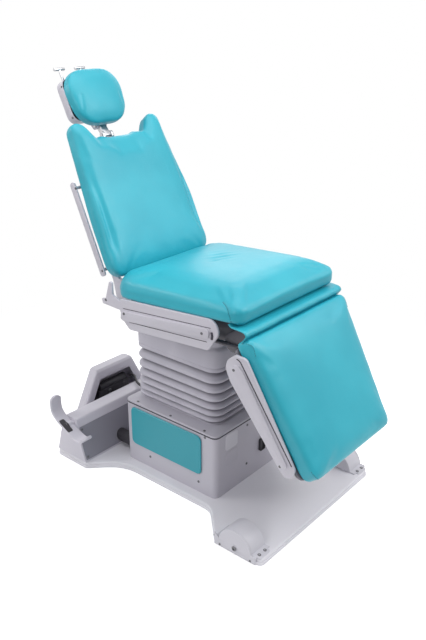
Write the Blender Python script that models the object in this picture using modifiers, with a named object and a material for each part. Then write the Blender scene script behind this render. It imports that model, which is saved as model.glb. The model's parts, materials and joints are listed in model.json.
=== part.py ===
"""Ear, nose and throat treatment chair, in metres with +Z up.

The origin is on the floor under the middle of the lifting column. The patient faces -Y, so +X is the
patient's left. Each moving group hangs on an empty whose origin lies on the axis of the group's joint.
"""

import math

import bmesh
import bpy
from mathutils import Matrix, Vector

# Driving dimensions, in metres and degrees
GAP = 0.0003  # between faces that touch
RUNNING_FIT = 0.0003  # around pins, shafts and rods

# Base plate and its cover
PLATE_THICK = 0.012
COVER_HEIGHT = 0.0137
COVER_WALL = 0.003
COVER_STEP = 0.003  # the plate shows past the cover by this
COVER_ROUND = 0.006
FOOT_FRONT = 0.55
FOOT_HALF = 0.346
FOOT_BACK = 0.351
WAIST_HALF = 0.23
HEEL_HALF = 0.336
HEEL_FRONT = 0.317
HEEL_BACK = 0.493
TAIL_HALF = 0.243
TAIL_BACK = 0.61

# Front wheels and their housings
WHEEL_RADIUS = 0.0245
WHEEL_WIDTH = 0.024
WHEEL_LIFT = 0.0015
WHEEL_X = 0.308
WHEEL_Y = -0.443
AXLE_RADIUS = 0.006
AXLE_HEAD_RADIUS = 0.012
AXLE_HEAD_THICK = 0.004
HOUSING_RADIUS = 0.0675
HOUSING_WALL = 0.003
HOUSING_INNER = 0.272
HOUSING_FLANGE = 0.02
FLANGE_THICK = 0.004
SIDE_PLATE_THICK = 0.005
WHEEL_SLOT = 0.006

# Column box
COLUMN_HALF_X = 0.191
COLUMN_HALF_Y = 0.228
COLUMN_HEIGHT = 0.2517
COLUMN_WALL = 0.003
COLUMN_ROUND = 0.022
LID_THICK = 0.0075
PANEL_FRONT = -0.163
PANEL_BACK = 0.193
PANEL_LOW = 0.105
PANEL_HIGH = 0.266
PANEL_THICK = 0.007
INLET_X = 0.078
INLET_Z = 0.138
INLET_WIDTH = 0.03
INLET_HEIGHT = 0.05
INLET_DEPTH = 0.01
INLET_RIM = 0.004

# Lifting column
OUTER_TUBE_HALF = 0.065
OUTER_TUBE_HEIGHT = 0.358
TUBE_WALL = 0.005
INNER_TUBE_LENGTH = 0.357
CYLINDER_RADIUS = 0.03
CYLINDER_HEIGHT = 0.353
CYLINDER_FLOOR = 0.018
RAM_RADIUS = 0.018
RAM_LENGTH = 0.342
HEAD_PLATE_THICK = 0.012
HEAD_PLATE_HALF_X = 0.185
BELLOWS_HALF_X = 0.14
BELLOWS_HALF_Y = 0.205
BELLOWS_Y = 0.02
BELLOWS_HEIGHT = 0.3456
BELLOWS_FOLD = 0.018
BELLOWS_WALL = 0.003
BELLOWS_ROUND = 0.05
FOLD_COUNT = 6
FIRST_FOLD = 0.032
FOLD_PITCH = 0.027
FOLD_PITCH_GROWTH = 0.0037
SOFT_FOLD_SHARE = 0.4

# Rear beam, hood and pedal
BEAM_HALF = 0.334
BEAM_FRONT_LINE = ((0.316, 0.0), (0.3275, 0.03), (0.342, 0.085), (0.352, 0.165))  # y, height over the base
BEAM_TOP_BACK = 0.43
BEAM_FOOT_BACK = 0.485
BEAM_HEIGHT = 0.179
BEAM_WALL = 0.003
BEAM_END_MARGIN = 0.006
BEAM_PANEL_THICK = 0.0022
HOOD_FRONT = 0.494
HOOD_BACK = 0.575
HOOD_FOOT_HALF = 0.235
HOOD_BACK_HALF = 0.19
HOOD_TOP_HALF = 0.104
HOOD_TOP_BACK = 0.548
HOOD_HEIGHT = 0.254
HOOD_SKIRT = 0.012
HOOD_WALL = 0.004
HOOD_RIM = 0.044
DRIVE_HALF = 0.085
DRIVE_FRONT = 0.503
DRIVE_BACK = 0.542
DRIVE_HEIGHT = 0.15
DRIVE_MOTOR_RADIUS = 0.019
HOSE_RADIUS = 0.005
HOSE_ROUTE = (
    (0.010, 0.2286, 0.230),
    (0.010, 0.250, 0.229),
    (0.010, 0.300, 0.224),
    (0.014, 0.360, 0.2175),
    (0.040, 0.410, 0.2145),
    (0.062, 0.440, 0.2135),
    (0.075, 0.470, 0.208),
    (0.079, 0.487, 0.199),
    (0.079, 0.5027, 0.193),
)
BOOT_RADIUS = 0.026
BOOT_X = -0.132
BOOT_Z = 0.06
PEDAL_PIVOT_Y = 0.378
PEDAL_PIVOT_Z = 0.183
PEDAL_WIDTH = 0.052
PEDAL_THICK = 0.009
PEDAL_OFFSET = 0.003
PEDAL_BOSS_RADIUS = 0.013
PEDAL_CENTRE_LINE = (
    (0.437, 0.294),
    (0.438, 0.262),
    (0.434, 0.232),
    (0.412, 0.208),
    (0.378, 0.188),
    (0.340, 0.168),
    (0.305, 0.155),
    (0.276, 0.158),
    (0.257, 0.178),
)

# Seat
MEMBER_X = 0.17
MEMBER_THICK = 0.014
LEG_AXIS_Y = -0.374
LEG_AXIS_RISE = 0.0967
BACK_AXIS_Y = 0.19
BACK_AXIS_RISE = 0.1007
SHAFT_RADIUS = 0.009
LUG_RADIUS = 0.019
CROSS_TUBE_RADIUS = 0.016
FRONT_TUBE_Y = -0.2
REAR_TUBE_Y = 0.06
CROSS_TUBE_DROP = 0.03
SEAT_RAKE = 4.4
SEAT_RISE = 0.1149  # member foot to cushion underside, at y = 0
BOARD_THICK = 0.012
BOARD_FRONT = -0.345
BOARD_BACK = 0.155
BOARD_HALF = 0.25
SEAT_HALF = 0.28
SEAT_FRONT = -0.395
SEAT_BACK = 0.17
SEAT_EDGE_RISE = 0.188  # member foot to the top seam
SEAT_TOP_SLOPE = 0.05  # the top seam rises forwards
SEAT_CROWN = 0.034
SEAT_NOSE_DROP = 0.02
SEAT_SOLE = 0.038
SEAT_ROUND = 0.021
SIDE_GUARD_X = 0.2713
SIDE_GUARD_THICK = 0.0097
RAIL_THICK = 0.008
SIDE_RAIL_HEIGHT = 0.033
BRACKET_THICK = 0.008

# Apron between seat and leg rest
APRON_MARGIN = 0.005  # the leg pad is wider than the apron by this, on each side
APRON_THICK = 0.003
APRON_TUCK = 0.009  # below the seat's underside, where it is fixed
APRON_STEP = 0.012
APRON_FOLD = ((0.012, 0.0255), (0.035, 0.022), (0.042, 0.011), (0.034, -0.0005), (0.0266, -0.0128))

# Leg rest, measured along the leg from its axis
LEG_ANGLE = 30.7
LEG_PAD_TOP = 0.026
LEG_PAD_BOTTOM = 0.506
LEG_TOP_HALF = 0.28
LEG_BOTTOM_HALF = 0.241
LEG_FACE = 0.052  # axis to the seam of the front face
LEG_PAD_DEPTH = 0.065
LEG_CROWN = 0.01
LEG_BOARD_DROP = 0.012
LEG_ARM_LENGTH = 0.4
LEG_ARM_WIDTH = 0.028
ARM_THICK = 0.012
CRANK_RADIUS = 0.08
CRANK_TIP_RADIUS = 0.014
CRANK_PIN_RADIUS = 0.006
LEG_CRANK_LEAN = 26.0

# Backrest, measured along the back from its axis
BACK_ANGLE = 25.86
BACK_PAD_BOTTOM = 0.048
BACK_PAD_TOP = 0.606
BACK_BOTTOM_HALF = 0.259
BACK_MIDDLE = 0.27
BACK_MIDDLE_HALF = 0.252
BACK_SHOULDER_HALF = 0.217
NOTCH_HALF = 0.155
NOTCH_FLOOR_HALF = 0.062
NOTCH_DEPTH = 0.065
BACK_FACE = 0.05
BACK_PAD_DEPTH = 0.066
BACK_PAD_TUCK = 0.027  # the pad's back edge is drawn in by this
BACK_CROWN = 0.012
BACK_BOARD_INSET = 0.022
BACK_BOARD_NARROWING = 0.91
BACK_ARM_LENGTH = 0.33
BACK_ARM_WIDTH = 0.03
BACK_CRANK_LEAN = 27.0
BACK_RAIL_X = 0.2465
BACK_RAIL_BEHIND = 0.007  # the rail lies this far behind the board's middle
BACK_RAIL_LOW = 0.067
BACK_RAIL_LENGTH = 0.347
BACK_RAIL_WIDTH = 0.026
BACK_RAIL_THICK = 0.006
BACK_RAIL_TOE = 1.5
STANDOFF_RADIUS = 0.0058
STANDOFF_END = 0.022

# Drives that swing the back and the leg rest
DRIVE_ROD_RADIUS = 0.008
DRIVE_BARREL_RADIUS = 0.0222
DRIVE_BARREL_LENGTH = 0.21
DRIVE_ROD_LENGTH = 0.25
DRIVE_BARREL_REACH = 0.165  # rod eye to barrel mouth
EYE_RADIUS = 0.013
EYE_THICK = 0.01

# Headrest, measured along the back
POST_HALF = 0.025
POST_THICK = 0.01
POST_LOW = 0.27
GUIDE_LOW = 0.4
GUIDE_LENGTH = 0.06
GUIDE_WALL = 0.01
KNUCKLE_RADIUS = 0.011
KNUCKLE_HALF = 0.0145
NECK_PIN_RADIUS = 0.005
LOWER_PIVOT = 0.566
UPPER_PIVOT = 0.606
UPPER_PIVOT_SETBACK = 0.02
HEAD_PAD_LOW = 0.601
HEAD_PAD_HIGH = 0.808
HEAD_PAD_HALF = 0.136
HEAD_PAD_LOW_HALF = 0.11
HEAD_PAD_ROUND = 0.08
HEAD_FACE = 0.007
HEAD_PAD_DEPTH = 0.045
HEAD_CROWN = 0.014
PAN_HALF = 0.12
PAN_LOW = 0.628
PAN_HIGH = 0.788
PAN_DEPTH = 0.034
PAN_WALL = 0.0025
PAN_ROUND = 0.03
KNOB_X = (-0.089, 0.008)
KNOB_SETBACK = 0.06
KNOB_STEM = 0.041
KNOB_STEM_RADIUS = 0.0045
KNOB_BAR = 0.044
KNOB_BAR_RADIUS = 0.0065

# Heights and faces that follow from the sizes above
BASE_TOP = PLATE_THICK + GAP + COVER_HEIGHT
DECK = BASE_TOP + GAP
COLUMN_TOP = DECK + COLUMN_HEIGHT
LID_TOP = COLUMN_TOP + GAP + LID_THICK
BELLOWS_LOW = LID_TOP + GAP
BELLOWS_HIGH = BELLOWS_LOW + BELLOWS_HEIGHT
HEAD_PLATE_LOW = BELLOWS_HIGH + GAP
SEAT_BASE = HEAD_PLATE_LOW + HEAD_PLATE_THICK + GAP
LEG_AXIS_Z = SEAT_BASE + LEG_AXIS_RISE
BACK_AXIS_Z = SEAT_BASE + BACK_AXIS_RISE
MEMBER_OUTER = MEMBER_X + MEMBER_THICK / 2
ARM_X = MEMBER_OUTER + GAP + ARM_THICK / 2
DRIVE_X = MEMBER_OUTER + GAP + DRIVE_BARREL_RADIUS
LEG_BACK = LEG_PAD_DEPTH - LEG_FACE  # back of the pad, behind the leg axis
BACK_BACK = BACK_PAD_DEPTH - BACK_FACE
HEAD_BACK = HEAD_PAD_DEPTH - HEAD_FACE
POST_FRONT = BACK_BACK + GAP + BOARD_THICK + GAP
NECK_Y = POST_FRONT + POST_THICK / 2

ARC_STEPS = 5
ROUND_SIDES = 20
PAD_SPACING = 0.07
# Each row of a pad's side: share of its depth, of the inset at its back, of that at its face,
# and of the draw-in
PAD_SECTIONS = (
    (0.0, 1.0, 0.0, 0.0),
    (0.14, 0.45, 0.0, 0.4),
    (0.42, 0.06, 0.0, 1.0),
    (0.72, 0.0, 0.0, 0.5),
    (0.91, 0.0, 0.3, 0.0),
    (1.0, 0.0, 1.0, 0.0),
)
CROWN_STEPS = (0.88, 0.66, 0.38, 0.12)

FINISHES = {
    "vinyl": ((0.07, 0.515, 0.68), 0.4, 0.0),
    "panel_teal": ((0.04, 0.38, 0.46), 0.35, 0.0),
    "paint": ((0.58, 0.56, 0.64), 0.42, 0.0),
    "dark_paint": ((0.17, 0.17, 0.19), 0.5, 0.0),
    "steel": ((0.62, 0.62, 0.64), 0.3, 1.0),
    "black_rubber": ((0.022, 0.02, 0.026), 0.6, 0.0),
    "bellows_rubber": ((0.5, 0.49, 0.56), 0.6, 0.0),
    "board": ((0.3, 0.29, 0.32), 0.7, 0.0),
}


# Start from an empty scene
for old in list(bpy.data.objects):
    bpy.data.objects.remove(old, do_unlink=True)
PARTS = bpy.data.collections.new("ent_chair")
CUTTERS = bpy.data.collections.new("cutters")
bpy.context.scene.collection.children.link(PARTS)
bpy.context.scene.collection.children.link(CUTTERS)


def material(finish):
    """The Principled material of a finish, made on first use."""
    found = bpy.data.materials.get(finish)
    if found:
        return found
    colour, roughness, metallic = FINISHES[finish]
    made = bpy.data.materials.new(finish)
    made.use_nodes = True
    shader = made.node_tree.nodes["Principled BSDF"]
    shader.inputs["Base Color"].default_value = (*colour, 1.0)
    shader.inputs["Roughness"].default_value = roughness
    shader.inputs["Metallic"].default_value = metallic
    made.diffuse_color = (*colour, 1.0)
    return made


# Flat outlines: lists of (u, v), counter-clockwise


def outline(corners, steps=ARC_STEPS):
    """A closed outline through corners (u, v, radius), each rounded with an arc."""
    points = []
    count = len(corners)
    for index, (u, v, radius) in enumerate(corners):
        corner = Vector((u, v))
        if radius <= 0:
            points.append((u, v))
            continue
        to_last = Vector(corners[index - 1][:2]) - corner
        to_next = Vector(corners[(index + 1) % count][:2]) - corner
        half = to_last.angle(to_next) / 2
        room = 0.49 * min(to_last.length, to_next.length)
        radius = min(radius, room * math.tan(half))
        tangent = radius / math.tan(half)
        last = to_last.normalized()
        following = to_next.normalized()
        centre = corner + (last + following).normalized() * (radius / math.sin(half))
        first_arm = corner + last * tangent - centre
        last_arm = corner + following * tangent - centre
        sweep = first_arm.angle(last_arm)
        for step in range(steps + 1):
            share = step / steps
            arm = first_arm * math.sin((1 - share) * sweep) + last_arm * math.sin(share * sweep)
            points.append(tuple(centre + arm / math.sin(sweep)))
    return points


def rectangle(low_u, low_v, high_u, high_v, radius):
    return [
        (low_u, low_v, radius),
        (high_u, low_v, radius),
        (high_u, high_v, radius),
        (low_u, high_v, radius),
    ]


def circle(u, v, radius, sides=ROUND_SIDES):
    turns = [2 * math.pi * side / sides for side in range(sides)]
    return [(u + radius * math.cos(turn), v + radius * math.sin(turn)) for turn in turns]


def mirrored(half):
    """Corners for both sides from those of the +u side, listed from the low end to the high end."""
    return half + [(-u, v, radius) for u, v, radius in reversed(half)]


def inset(points, distance):
    """The outline moved inwards by a distance."""
    moved = []
    for index, point in enumerate(points):
        here = Vector(point)
        before = (here - Vector(points[index - 1])).normalized()
        after = (Vector(points[(index + 1) % len(points)]) - here).normalized()
        first = Vector((-before.y, before.x))
        inward = (first + Vector((-after.y, after.x))).normalized()
        moved.append(tuple(here + inward * distance / max(0.4, inward.dot(first))))
    return moved


def subdivided(points, longest):
    """The closed outline with its long sides cut into even steps."""
    spread = []
    for index, point in enumerate(points):
        start = Vector(point)
        end = Vector(points[(index + 1) % len(points)])
        pieces = max(1, round((end - start).length / longest))
        spread.extend(tuple(start.lerp(end, piece / pieces)) for piece in range(pieces))
    return spread


def smooth_line(points, steps):
    """A smooth curve through the points, with some steps between each two."""
    line = []
    last = len(points) - 1
    for index in range(last):
        before, start = Vector(points[max(index - 1, 0)]), Vector(points[index])
        end, after = Vector(points[index + 1]), Vector(points[min(index + 2, last)])
        for step in range(steps):
            t = step / steps
            bend = (2 * before - 5 * start + 4 * end - after) * t * t
            twist = (3 * start - before - 3 * end + after) * t * t * t
            line.append(tuple(start + 0.5 * ((end - before) * t + bend + twist)))
    line.append(tuple(points[-1]))
    return line


def ribbon(line, thickness):
    """The outline of a strip that follows an open line."""
    near, far = [], []
    for index, point in enumerate(line):
        before = Vector(line[max(index - 1, 0)])
        after = Vector(line[min(index + 1, len(line) - 1)])
        along = (after - before).normalized()
        across = Vector((-along.y, along.x)) * thickness / 2
        near.append(tuple(Vector(point) - across))
        far.append(tuple(Vector(point) + across))
    return near + far[::-1]


# Solids: each function makes one named object

FACING = {
    "x": Matrix(((0, 0, 1), (1, 0, 0), (0, 1, 0))).to_4x4(),
    "y": Matrix(((1, 0, 0), (0, 0, -1), (0, 1, 0))).to_4x4(),
    "z": Matrix.Identity(4),
}


def frame(name, at, parent=None, tilt=0.0, lean=0.0):
    """An empty on a joint's axis, tilted about X and leaning about Y, in degrees."""
    empty = bpy.data.objects.new(name, None)
    PARTS.objects.link(empty)
    empty.parent = parent
    empty.location = at
    empty.rotation_euler = (math.radians(tilt), math.radians(lean), 0.0)
    return empty


def solid(name, mesh, finish, at=(0, 0, 0), parent=None):
    body = bpy.data.objects.new(name, mesh)
    PARTS.objects.link(body)
    body.parent = parent
    body.location = at
    mesh.materials.append(material(finish))
    mesh.shade_smooth()
    mesh.set_sharp_from_angle(angle=math.radians(35))
    return body


def plate(name, points, thickness, facing, finish, at=(0, 0, 0), parent=None, holes=(), edge=0.0):
    """An outline extruded both ways from its own plane, with rounded edges where edge is given."""
    curve = bpy.data.curves.new(name, "CURVE")
    curve.dimensions = "2D"
    curve.fill_mode = "BOTH"
    curve.extrude = thickness / 2 - edge
    curve.bevel_depth = edge
    curve.bevel_resolution = 0
    curve.offset = -edge
    for loop in (points, *holes):
        spline = curve.splines.new("POLY")
        spline.points.add(len(loop) - 1)
        for target, (u, v) in zip(spline.points, loop):
            target.co = (u, v, 0.0, 1.0)
        spline.use_cyclic_u = True
    drawn = bpy.data.objects.new(name + "_outline", curve)
    PARTS.objects.link(drawn)
    graph = bpy.context.evaluated_depsgraph_get()
    mesh = bpy.data.meshes.new_from_object(drawn.evaluated_get(graph))
    bpy.data.objects.remove(drawn)
    mesh.materials.clear()
    welded = bmesh.new()
    welded.from_mesh(mesh)
    bmesh.ops.remove_doubles(welded, verts=welded.verts, dist=1e-6)
    bmesh.ops.transform(welded, matrix=FACING[facing], verts=welded.verts)
    bmesh.ops.recalc_face_normals(welded, faces=welded.faces)
    welded.to_mesh(mesh)
    welded.free()
    return solid(name, mesh, finish, at, parent)


def bar(name, radius, length, facing, finish, at=(0, 0, 0), parent=None):
    """A round bar along the axis that it faces, centred on its place."""
    round_bar = bmesh.new()
    bmesh.ops.create_cone(
        round_bar, cap_ends=True, segments=ROUND_SIDES, radius1=radius, radius2=radius, depth=length
    )
    bmesh.ops.transform(round_bar, matrix=FACING[facing], verts=round_bar.verts)
    mesh = bpy.data.meshes.new(name)
    round_bar.to_mesh(mesh)
    round_bar.free()
    return solid(name, mesh, finish, at, parent)


def block(name, size, finish, at=(0, 0, 0), parent=None, edge=0.0):
    """A box centred on its place, with bevelled edges where edge is given."""
    box = bmesh.new()
    bmesh.ops.create_cube(box, size=1.0, matrix=Matrix.Diagonal((*size, 1.0)))
    mesh = bpy.data.meshes.new(name)
    box.to_mesh(mesh)
    box.free()
    body = solid(name, mesh, finish, at, parent)
    if edge:
        bevel = body.modifiers.new("rounded_edges", "BEVEL")
        bevel.width = edge
        bevel.segments = 2
    return body


def turned(name, profile, finish, at, parent=None, tilt=0.0):
    """A turned body: its profile of (radius, height) runs down its outer side."""
    mesh = bpy.data.meshes.new(name)
    edges = [(index, index + 1) for index in range(len(profile) - 1)]
    mesh.from_pydata([(radius, 0.0, height) for radius, height in profile], edges, [])
    body = solid(name, mesh, finish, at, parent)
    body.rotation_euler.x = math.radians(tilt)
    screw = body.modifiers.new("turn", "SCREW")
    screw.steps = ROUND_SIDES
    screw.render_steps = ROUND_SIDES
    screw.use_merge_vertices = True
    screw.merge_threshold = 0.0001
    return body


def loft(name, rings, finish, at=(0, 0, 0), parent=None, joined=False, low_cap=True):
    """A skin over rings of as many points each. It is capped, or joined from the last ring to the first."""
    skin = bmesh.new()
    rows = [[skin.verts.new(point) for point in ring] for ring in rings]
    pairs = list(zip(rows, rows[1:]))
    if joined:
        pairs.append((rows[-1], rows[0]))
    for low, high in pairs:
        for index in range(len(low)):
            following = (index + 1) % len(low)
            skin.faces.new((low[index], low[following], high[following], high[index]))
    if not joined:
        skin.faces.new(rows[-1])
        if low_cap:
            skin.faces.new(rows[0])
    bmesh.ops.recalc_face_normals(skin, faces=skin.faces)
    mesh = bpy.data.meshes.new(name)
    skin.to_mesh(mesh)
    skin.free()
    return solid(name, mesh, finish, at, parent)


def combine(body, other, operation):
    """Joins another object to a body or cuts it out, and puts that object among the cutters."""
    PARTS.objects.unlink(other)
    CUTTERS.objects.link(other)
    other.hide_render = True
    other.display_type = "WIRE"
    boolean = body.modifiers.new(other.name, "BOOLEAN")
    boolean.operation = operation
    boolean.object = other
    boolean.solver = "EXACT"
    return body


def join(body, *others):
    for other in others:
        combine(body, other, "UNION")
    return body


def cut(body, *others):
    for other in others:
        combine(body, other, "DIFFERENCE")
    return body


def shell(body, wall):
    """Gives an open skin its wall, inwards."""
    thicken = body.modifiers.new("wall", "SOLIDIFY")
    thicken.thickness = wall
    thicken.offset = -1.0
    thicken.use_even_offset = True
    return body


def cushion(name, corners, depth, crown, insets, draw_in, place, parent, sole=0.0):
    """A stuffed pad. Its corners give the widest outline, insets how far its back and its face are drawn in
    from that, depth(v) the height of the face's seam over the flat back, and place(u, v, height) the point
    of the part. The sides draw in between the corners. A sole keeps that much more of the back flat."""
    ring = subdivided(outline(corners), PAD_SPACING)
    inward = [(Vector(inner) - Vector(outer)) / 0.01 for inner, outer in zip(inset(ring, 0.01), ring)]
    low = min(v for u, v in ring)
    high = max(v for u, v in ring)
    half_u = max(u for u, v in ring)
    middle = (low + high) / 2
    back_inset, face_inset = insets
    rows = []
    if sole:
        rows.append([place(u, v, 0.0) for u, v in inset(ring, sole)])
    for share, at_back, at_face, pull in PAD_SECTIONS:
        row = []
        for (u, v), way in zip(ring, inward):
            corner_share = abs(u) / half_u * abs(v - middle) * 2 / (high - low)
            move = at_back * back_inset + at_face * face_inset + pull * draw_in * (1 - corner_share**2)
            here = (u + way.x * move, v + way.y * move)
            row.append(place(*here, share * depth(here[1])))
        rows.append(row)
    for share in CROWN_STEPS:
        row = []
        for u, v in inset(ring, face_inset):
            here = (u * share, middle + (v - middle) * share)
            row.append(place(*here, depth(here[1]) + crown * (1 - share**4)))
        rows.append(row)
    return loft(name, rows, "vinyl", parent=parent)


SIDES = {"left": 1, "right": -1}


def base_corners():
    flare = FOOT_HALF - WAIST_HALF
    heel_flare = HEEL_HALF - WAIST_HALF
    return mirrored([
        (FOOT_HALF, -FOOT_FRONT, 0.02),
        (FOOT_HALF, -FOOT_BACK, 0.03),
        (WAIST_HALF, -FOOT_BACK + flare, 0.07),
        (WAIST_HALF, HEEL_FRONT - heel_flare, 0.16),
        (HEEL_HALF, HEEL_FRONT, 0.02),
        (HEEL_HALF, HEEL_BACK, 0.02),
        (TAIL_HALF, HEEL_BACK, 0.02),
        (TAIL_HALF, TAIL_BACK, 0.04),
    ])


def wheel_slot(name, side):
    """Room for a wheel and its axle, open at the edge of the base where the side plate closes it."""
    inner = HOUSING_INNER + HOUSING_WALL
    outer = FOOT_HALF + SIDE_PLATE_THICK
    size = (outer - inner, 2 * (WHEEL_RADIUS + WHEEL_SLOT), 4 * BASE_TOP)
    return block(name, size, "dark_paint", at=(side * (inner + outer) / 2, WHEEL_Y, BASE_TOP / 2))


def build_base():
    edge = outline(base_corners(), steps=4)
    base = plate(
        "base_plate", edge, PLATE_THICK, "z", "dark_paint", at=(0, 0, PLATE_THICK / 2)
    )
    levels = (
        (PLATE_THICK + GAP, COVER_STEP),
        (BASE_TOP - COVER_ROUND, COVER_STEP),
        (BASE_TOP - COVER_ROUND * 0.3, COVER_STEP + COVER_ROUND * 0.3),
        (BASE_TOP, COVER_STEP + COVER_ROUND),
    )
    rings = [[(u, v, height) for u, v in inset(edge, step)] for height, step in levels]
    cover = shell(loft("base_cover", rings, "paint", low_cap=False), COVER_WALL)
    for word, side in SIDES.items():
        cut(base, wheel_slot("plate_slot_" + word, side))
        cut(cover, wheel_slot("cover_slot_" + word, side))


def build_wheel(word, side):
    """A front wheel on its axle, under a half-round housing with a bolted side plate."""
    axle_z = WHEEL_RADIUS + WHEEL_LIFT
    axis = frame("front_wheel_axis_" + word, (side * WHEEL_X, WHEEL_Y, axle_z))
    tyre = circle(0, 0, WHEEL_RADIUS, sides=28)
    bore = circle(0, 0, AXLE_RADIUS + RUNNING_FIT)
    plate(
        "front_wheel_" + word, tyre, WHEEL_WIDTH, "x", "black_rubber", parent=axis, holes=[bore], edge=0.003
    )

    length = FOOT_HALF - HOUSING_INNER
    middle = side * (FOOT_HALF + HOUSING_INNER) / 2
    rise = axle_z - DECK  # the arch is round about the axle
    reach = HOUSING_RADIUS + HOUSING_FLANGE
    turn = math.asin((FLANGE_THICK - rise) / HOUSING_RADIUS)
    arch = []
    for step in range(17):
        angle = turn + (math.pi - 2 * turn) * step / 16
        arch.append((HOUSING_RADIUS * math.cos(angle), rise + HOUSING_RADIUS * math.sin(angle)))
    feet = [(-reach, FLANGE_THICK), (-reach, 0.0), (reach, 0.0), (reach, FLANGE_THICK)]
    housing = plate(
        "wheel_housing_" + word, arch + feet, length, "x", "paint", at=(middle, WHEEL_Y, DECK)
    )
    inside = circle(0, rise, HOUSING_RADIUS - HOUSING_WALL, sides=32)
    hollow_at = (middle + side * HOUSING_WALL, WHEEL_Y, DECK)
    cut(housing, plate("housing_hollow_" + word, inside, length, "x", "paint", at=hollow_at))

    foot = DECK - WHEEL_LIFT  # the side plate hangs to just over the floor
    guard = arch + [(-reach, FLANGE_THICK), (-reach, -foot), (reach, -foot), (reach, HOUSING_WALL * 8)]
    guard_x = side * (FOOT_HALF + GAP + SIDE_PLATE_THICK / 2)
    guard_plate = plate(
        "wheel_side_plate_" + word,
        guard,
        SIDE_PLATE_THICK,
        "x",
        "paint",
        at=(guard_x, WHEEL_Y, DECK),
    )
    inner_end = HOUSING_INNER + HOUSING_WALL + GAP
    axle_length = FOOT_HALF + GAP + SIDE_PLATE_THICK / 2 - inner_end
    axle_x = side * (inner_end + axle_length / 2)
    head_x = side * (FOOT_HALF + GAP + SIDE_PLATE_THICK + AXLE_HEAD_THICK / 4)
    join(
        guard_plate,
        bar("axle_" + word, AXLE_RADIUS, axle_length, "x", "steel", at=(axle_x, WHEEL_Y, axle_z)),
        bar(
            "axle_head_" + word,
            AXLE_HEAD_RADIUS,
            AXLE_HEAD_THICK,
            "x",
            "steel",
            at=(head_x, WHEEL_Y, axle_z),
        ),
    )


def build_column():
    walls = rectangle(-COLUMN_HALF_X, -COLUMN_HALF_Y, COLUMN_HALF_X, COLUMN_HALF_Y, COLUMN_ROUND)
    around = outline(walls)
    plate(
        "column_box",
        around,
        COLUMN_HEIGHT,
        "z",
        "paint",
        at=(0, 0, DECK + COLUMN_HEIGHT / 2),
        holes=[inset(around, COLUMN_WALL)],
    )
    mouth = OUTER_TUBE_HALF + GAP
    lid_mouth = outline(rectangle(-mouth, -mouth, mouth, mouth, 0.0))
    lid_at = (0, 0, LID_TOP - LID_THICK / 2)
    plate("column_lid", around, LID_THICK, "z", "paint", at=lid_at, holes=[lid_mouth])
    panel = outline(rectangle(PANEL_FRONT, PANEL_LOW, PANEL_BACK, PANEL_HIGH, 0.022))
    for word, side in SIDES.items():
        panel_at = (side * (COLUMN_HALF_X + GAP + PANEL_THICK / 2), 0, 0)
        plate("side_panel_" + word, panel, PANEL_THICK, "x", "panel_teal", at=panel_at, edge=0.003)
    half_width = INLET_WIDTH / 2
    half_height = INLET_HEIGHT / 2
    inlet_at = (INLET_X, -COLUMN_HALF_Y - GAP - INLET_DEPTH / 2, INLET_Z)
    rim = outline(rectangle(-half_width, -half_height, half_width, half_height, 0.005))
    inlet = plate("power_inlet", rim, INLET_DEPTH, "y", "black_rubber", at=inlet_at)
    recess_at = (INLET_X, inlet_at[1] - INLET_RIM, INLET_Z)
    cut(inlet, plate("inlet_recess", inset(rim, INLET_RIM), INLET_DEPTH, "y", "black_rubber", at=recess_at))


def square_tube(name, half, wall, low, high, parent=None):
    around = outline(rectangle(-half, -half, half, half, 0.006), steps=2)
    middle = (low + high) / 2
    hollow = [inset(around, wall)]
    return plate(name, around, high - low, "z", "steel", at=(0, 0, middle), parent=parent, holes=hollow)


def build_lift(lift):
    square_tube("outer_guide_tube", OUTER_TUBE_HALF, TUBE_WALL, DECK, DECK + OUTER_TUBE_HEIGHT)
    inner_half = OUTER_TUBE_HALF - TUBE_WALL - RUNNING_FIT
    inner_top = HEAD_PLATE_LOW - GAP
    square_tube("inner_guide_tube", inner_half, TUBE_WALL, inner_top - INNER_TUBE_LENGTH, inner_top, lift)
    bore = RAM_RADIUS + RUNNING_FIT
    profile = (
        (0.0, CYLINDER_FLOOR),
        (bore, CYLINDER_FLOOR),
        (bore, CYLINDER_HEIGHT),
        (CYLINDER_RADIUS, CYLINDER_HEIGHT),
        (CYLINDER_RADIUS, 0.0),
        (0.0, 0.0),
    )
    turned("lift_cylinder", profile, "dark_paint", (0, 0, DECK))
    ram_at = (0, 0, inner_top - RAM_LENGTH / 2)
    bar("lift_ram", RAM_RADIUS, RAM_LENGTH, "z", "steel", at=ram_at, parent=lift)
    reach = BELLOWS_HALF_Y + 0.005
    head = outline(
        rectangle(-HEAD_PLATE_HALF_X, BELLOWS_Y - reach, HEAD_PLATE_HALF_X, BELLOWS_Y + reach, 0.03)
    )
    head_at = (0, 0, HEAD_PLATE_LOW + HEAD_PLATE_THICK / 2)
    plate("lift_head_plate", head, HEAD_PLATE_THICK, "z", "dark_paint", at=head_at, parent=lift)


def bellows_rows():
    """(height, inset share) of each row of the bellows: tight folds opening upwards, then a plainer cuff."""
    valleys = [FIRST_FOLD]
    for fold in range(FOLD_COUNT - 1):
        valleys.append(valleys[-1] + FOLD_PITCH + FOLD_PITCH_GROWTH * fold)
    valleys = [0.0, *valleys]
    rows = [(0.0, 0.8)]
    for low, high in zip(valleys, valleys[1:]):
        for share, depth in ((0.2, 0.3), (0.5, 0.0), (0.8, 0.3), (1.0, 1.0)):
            rows.append((low + (high - low) * share, depth))
    cuff = valleys[-1]
    length = BELLOWS_HEIGHT - cuff
    cuff_rows = ((0.15, 0.3), (0.4, 0.0), (0.62, 0.12), (0.72, SOFT_FOLD_SHARE), (0.82, 0.12), (1.0, 0.3))
    for share, depth in cuff_rows:
        rows.append((cuff + length * share, depth))
    return rows


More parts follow.
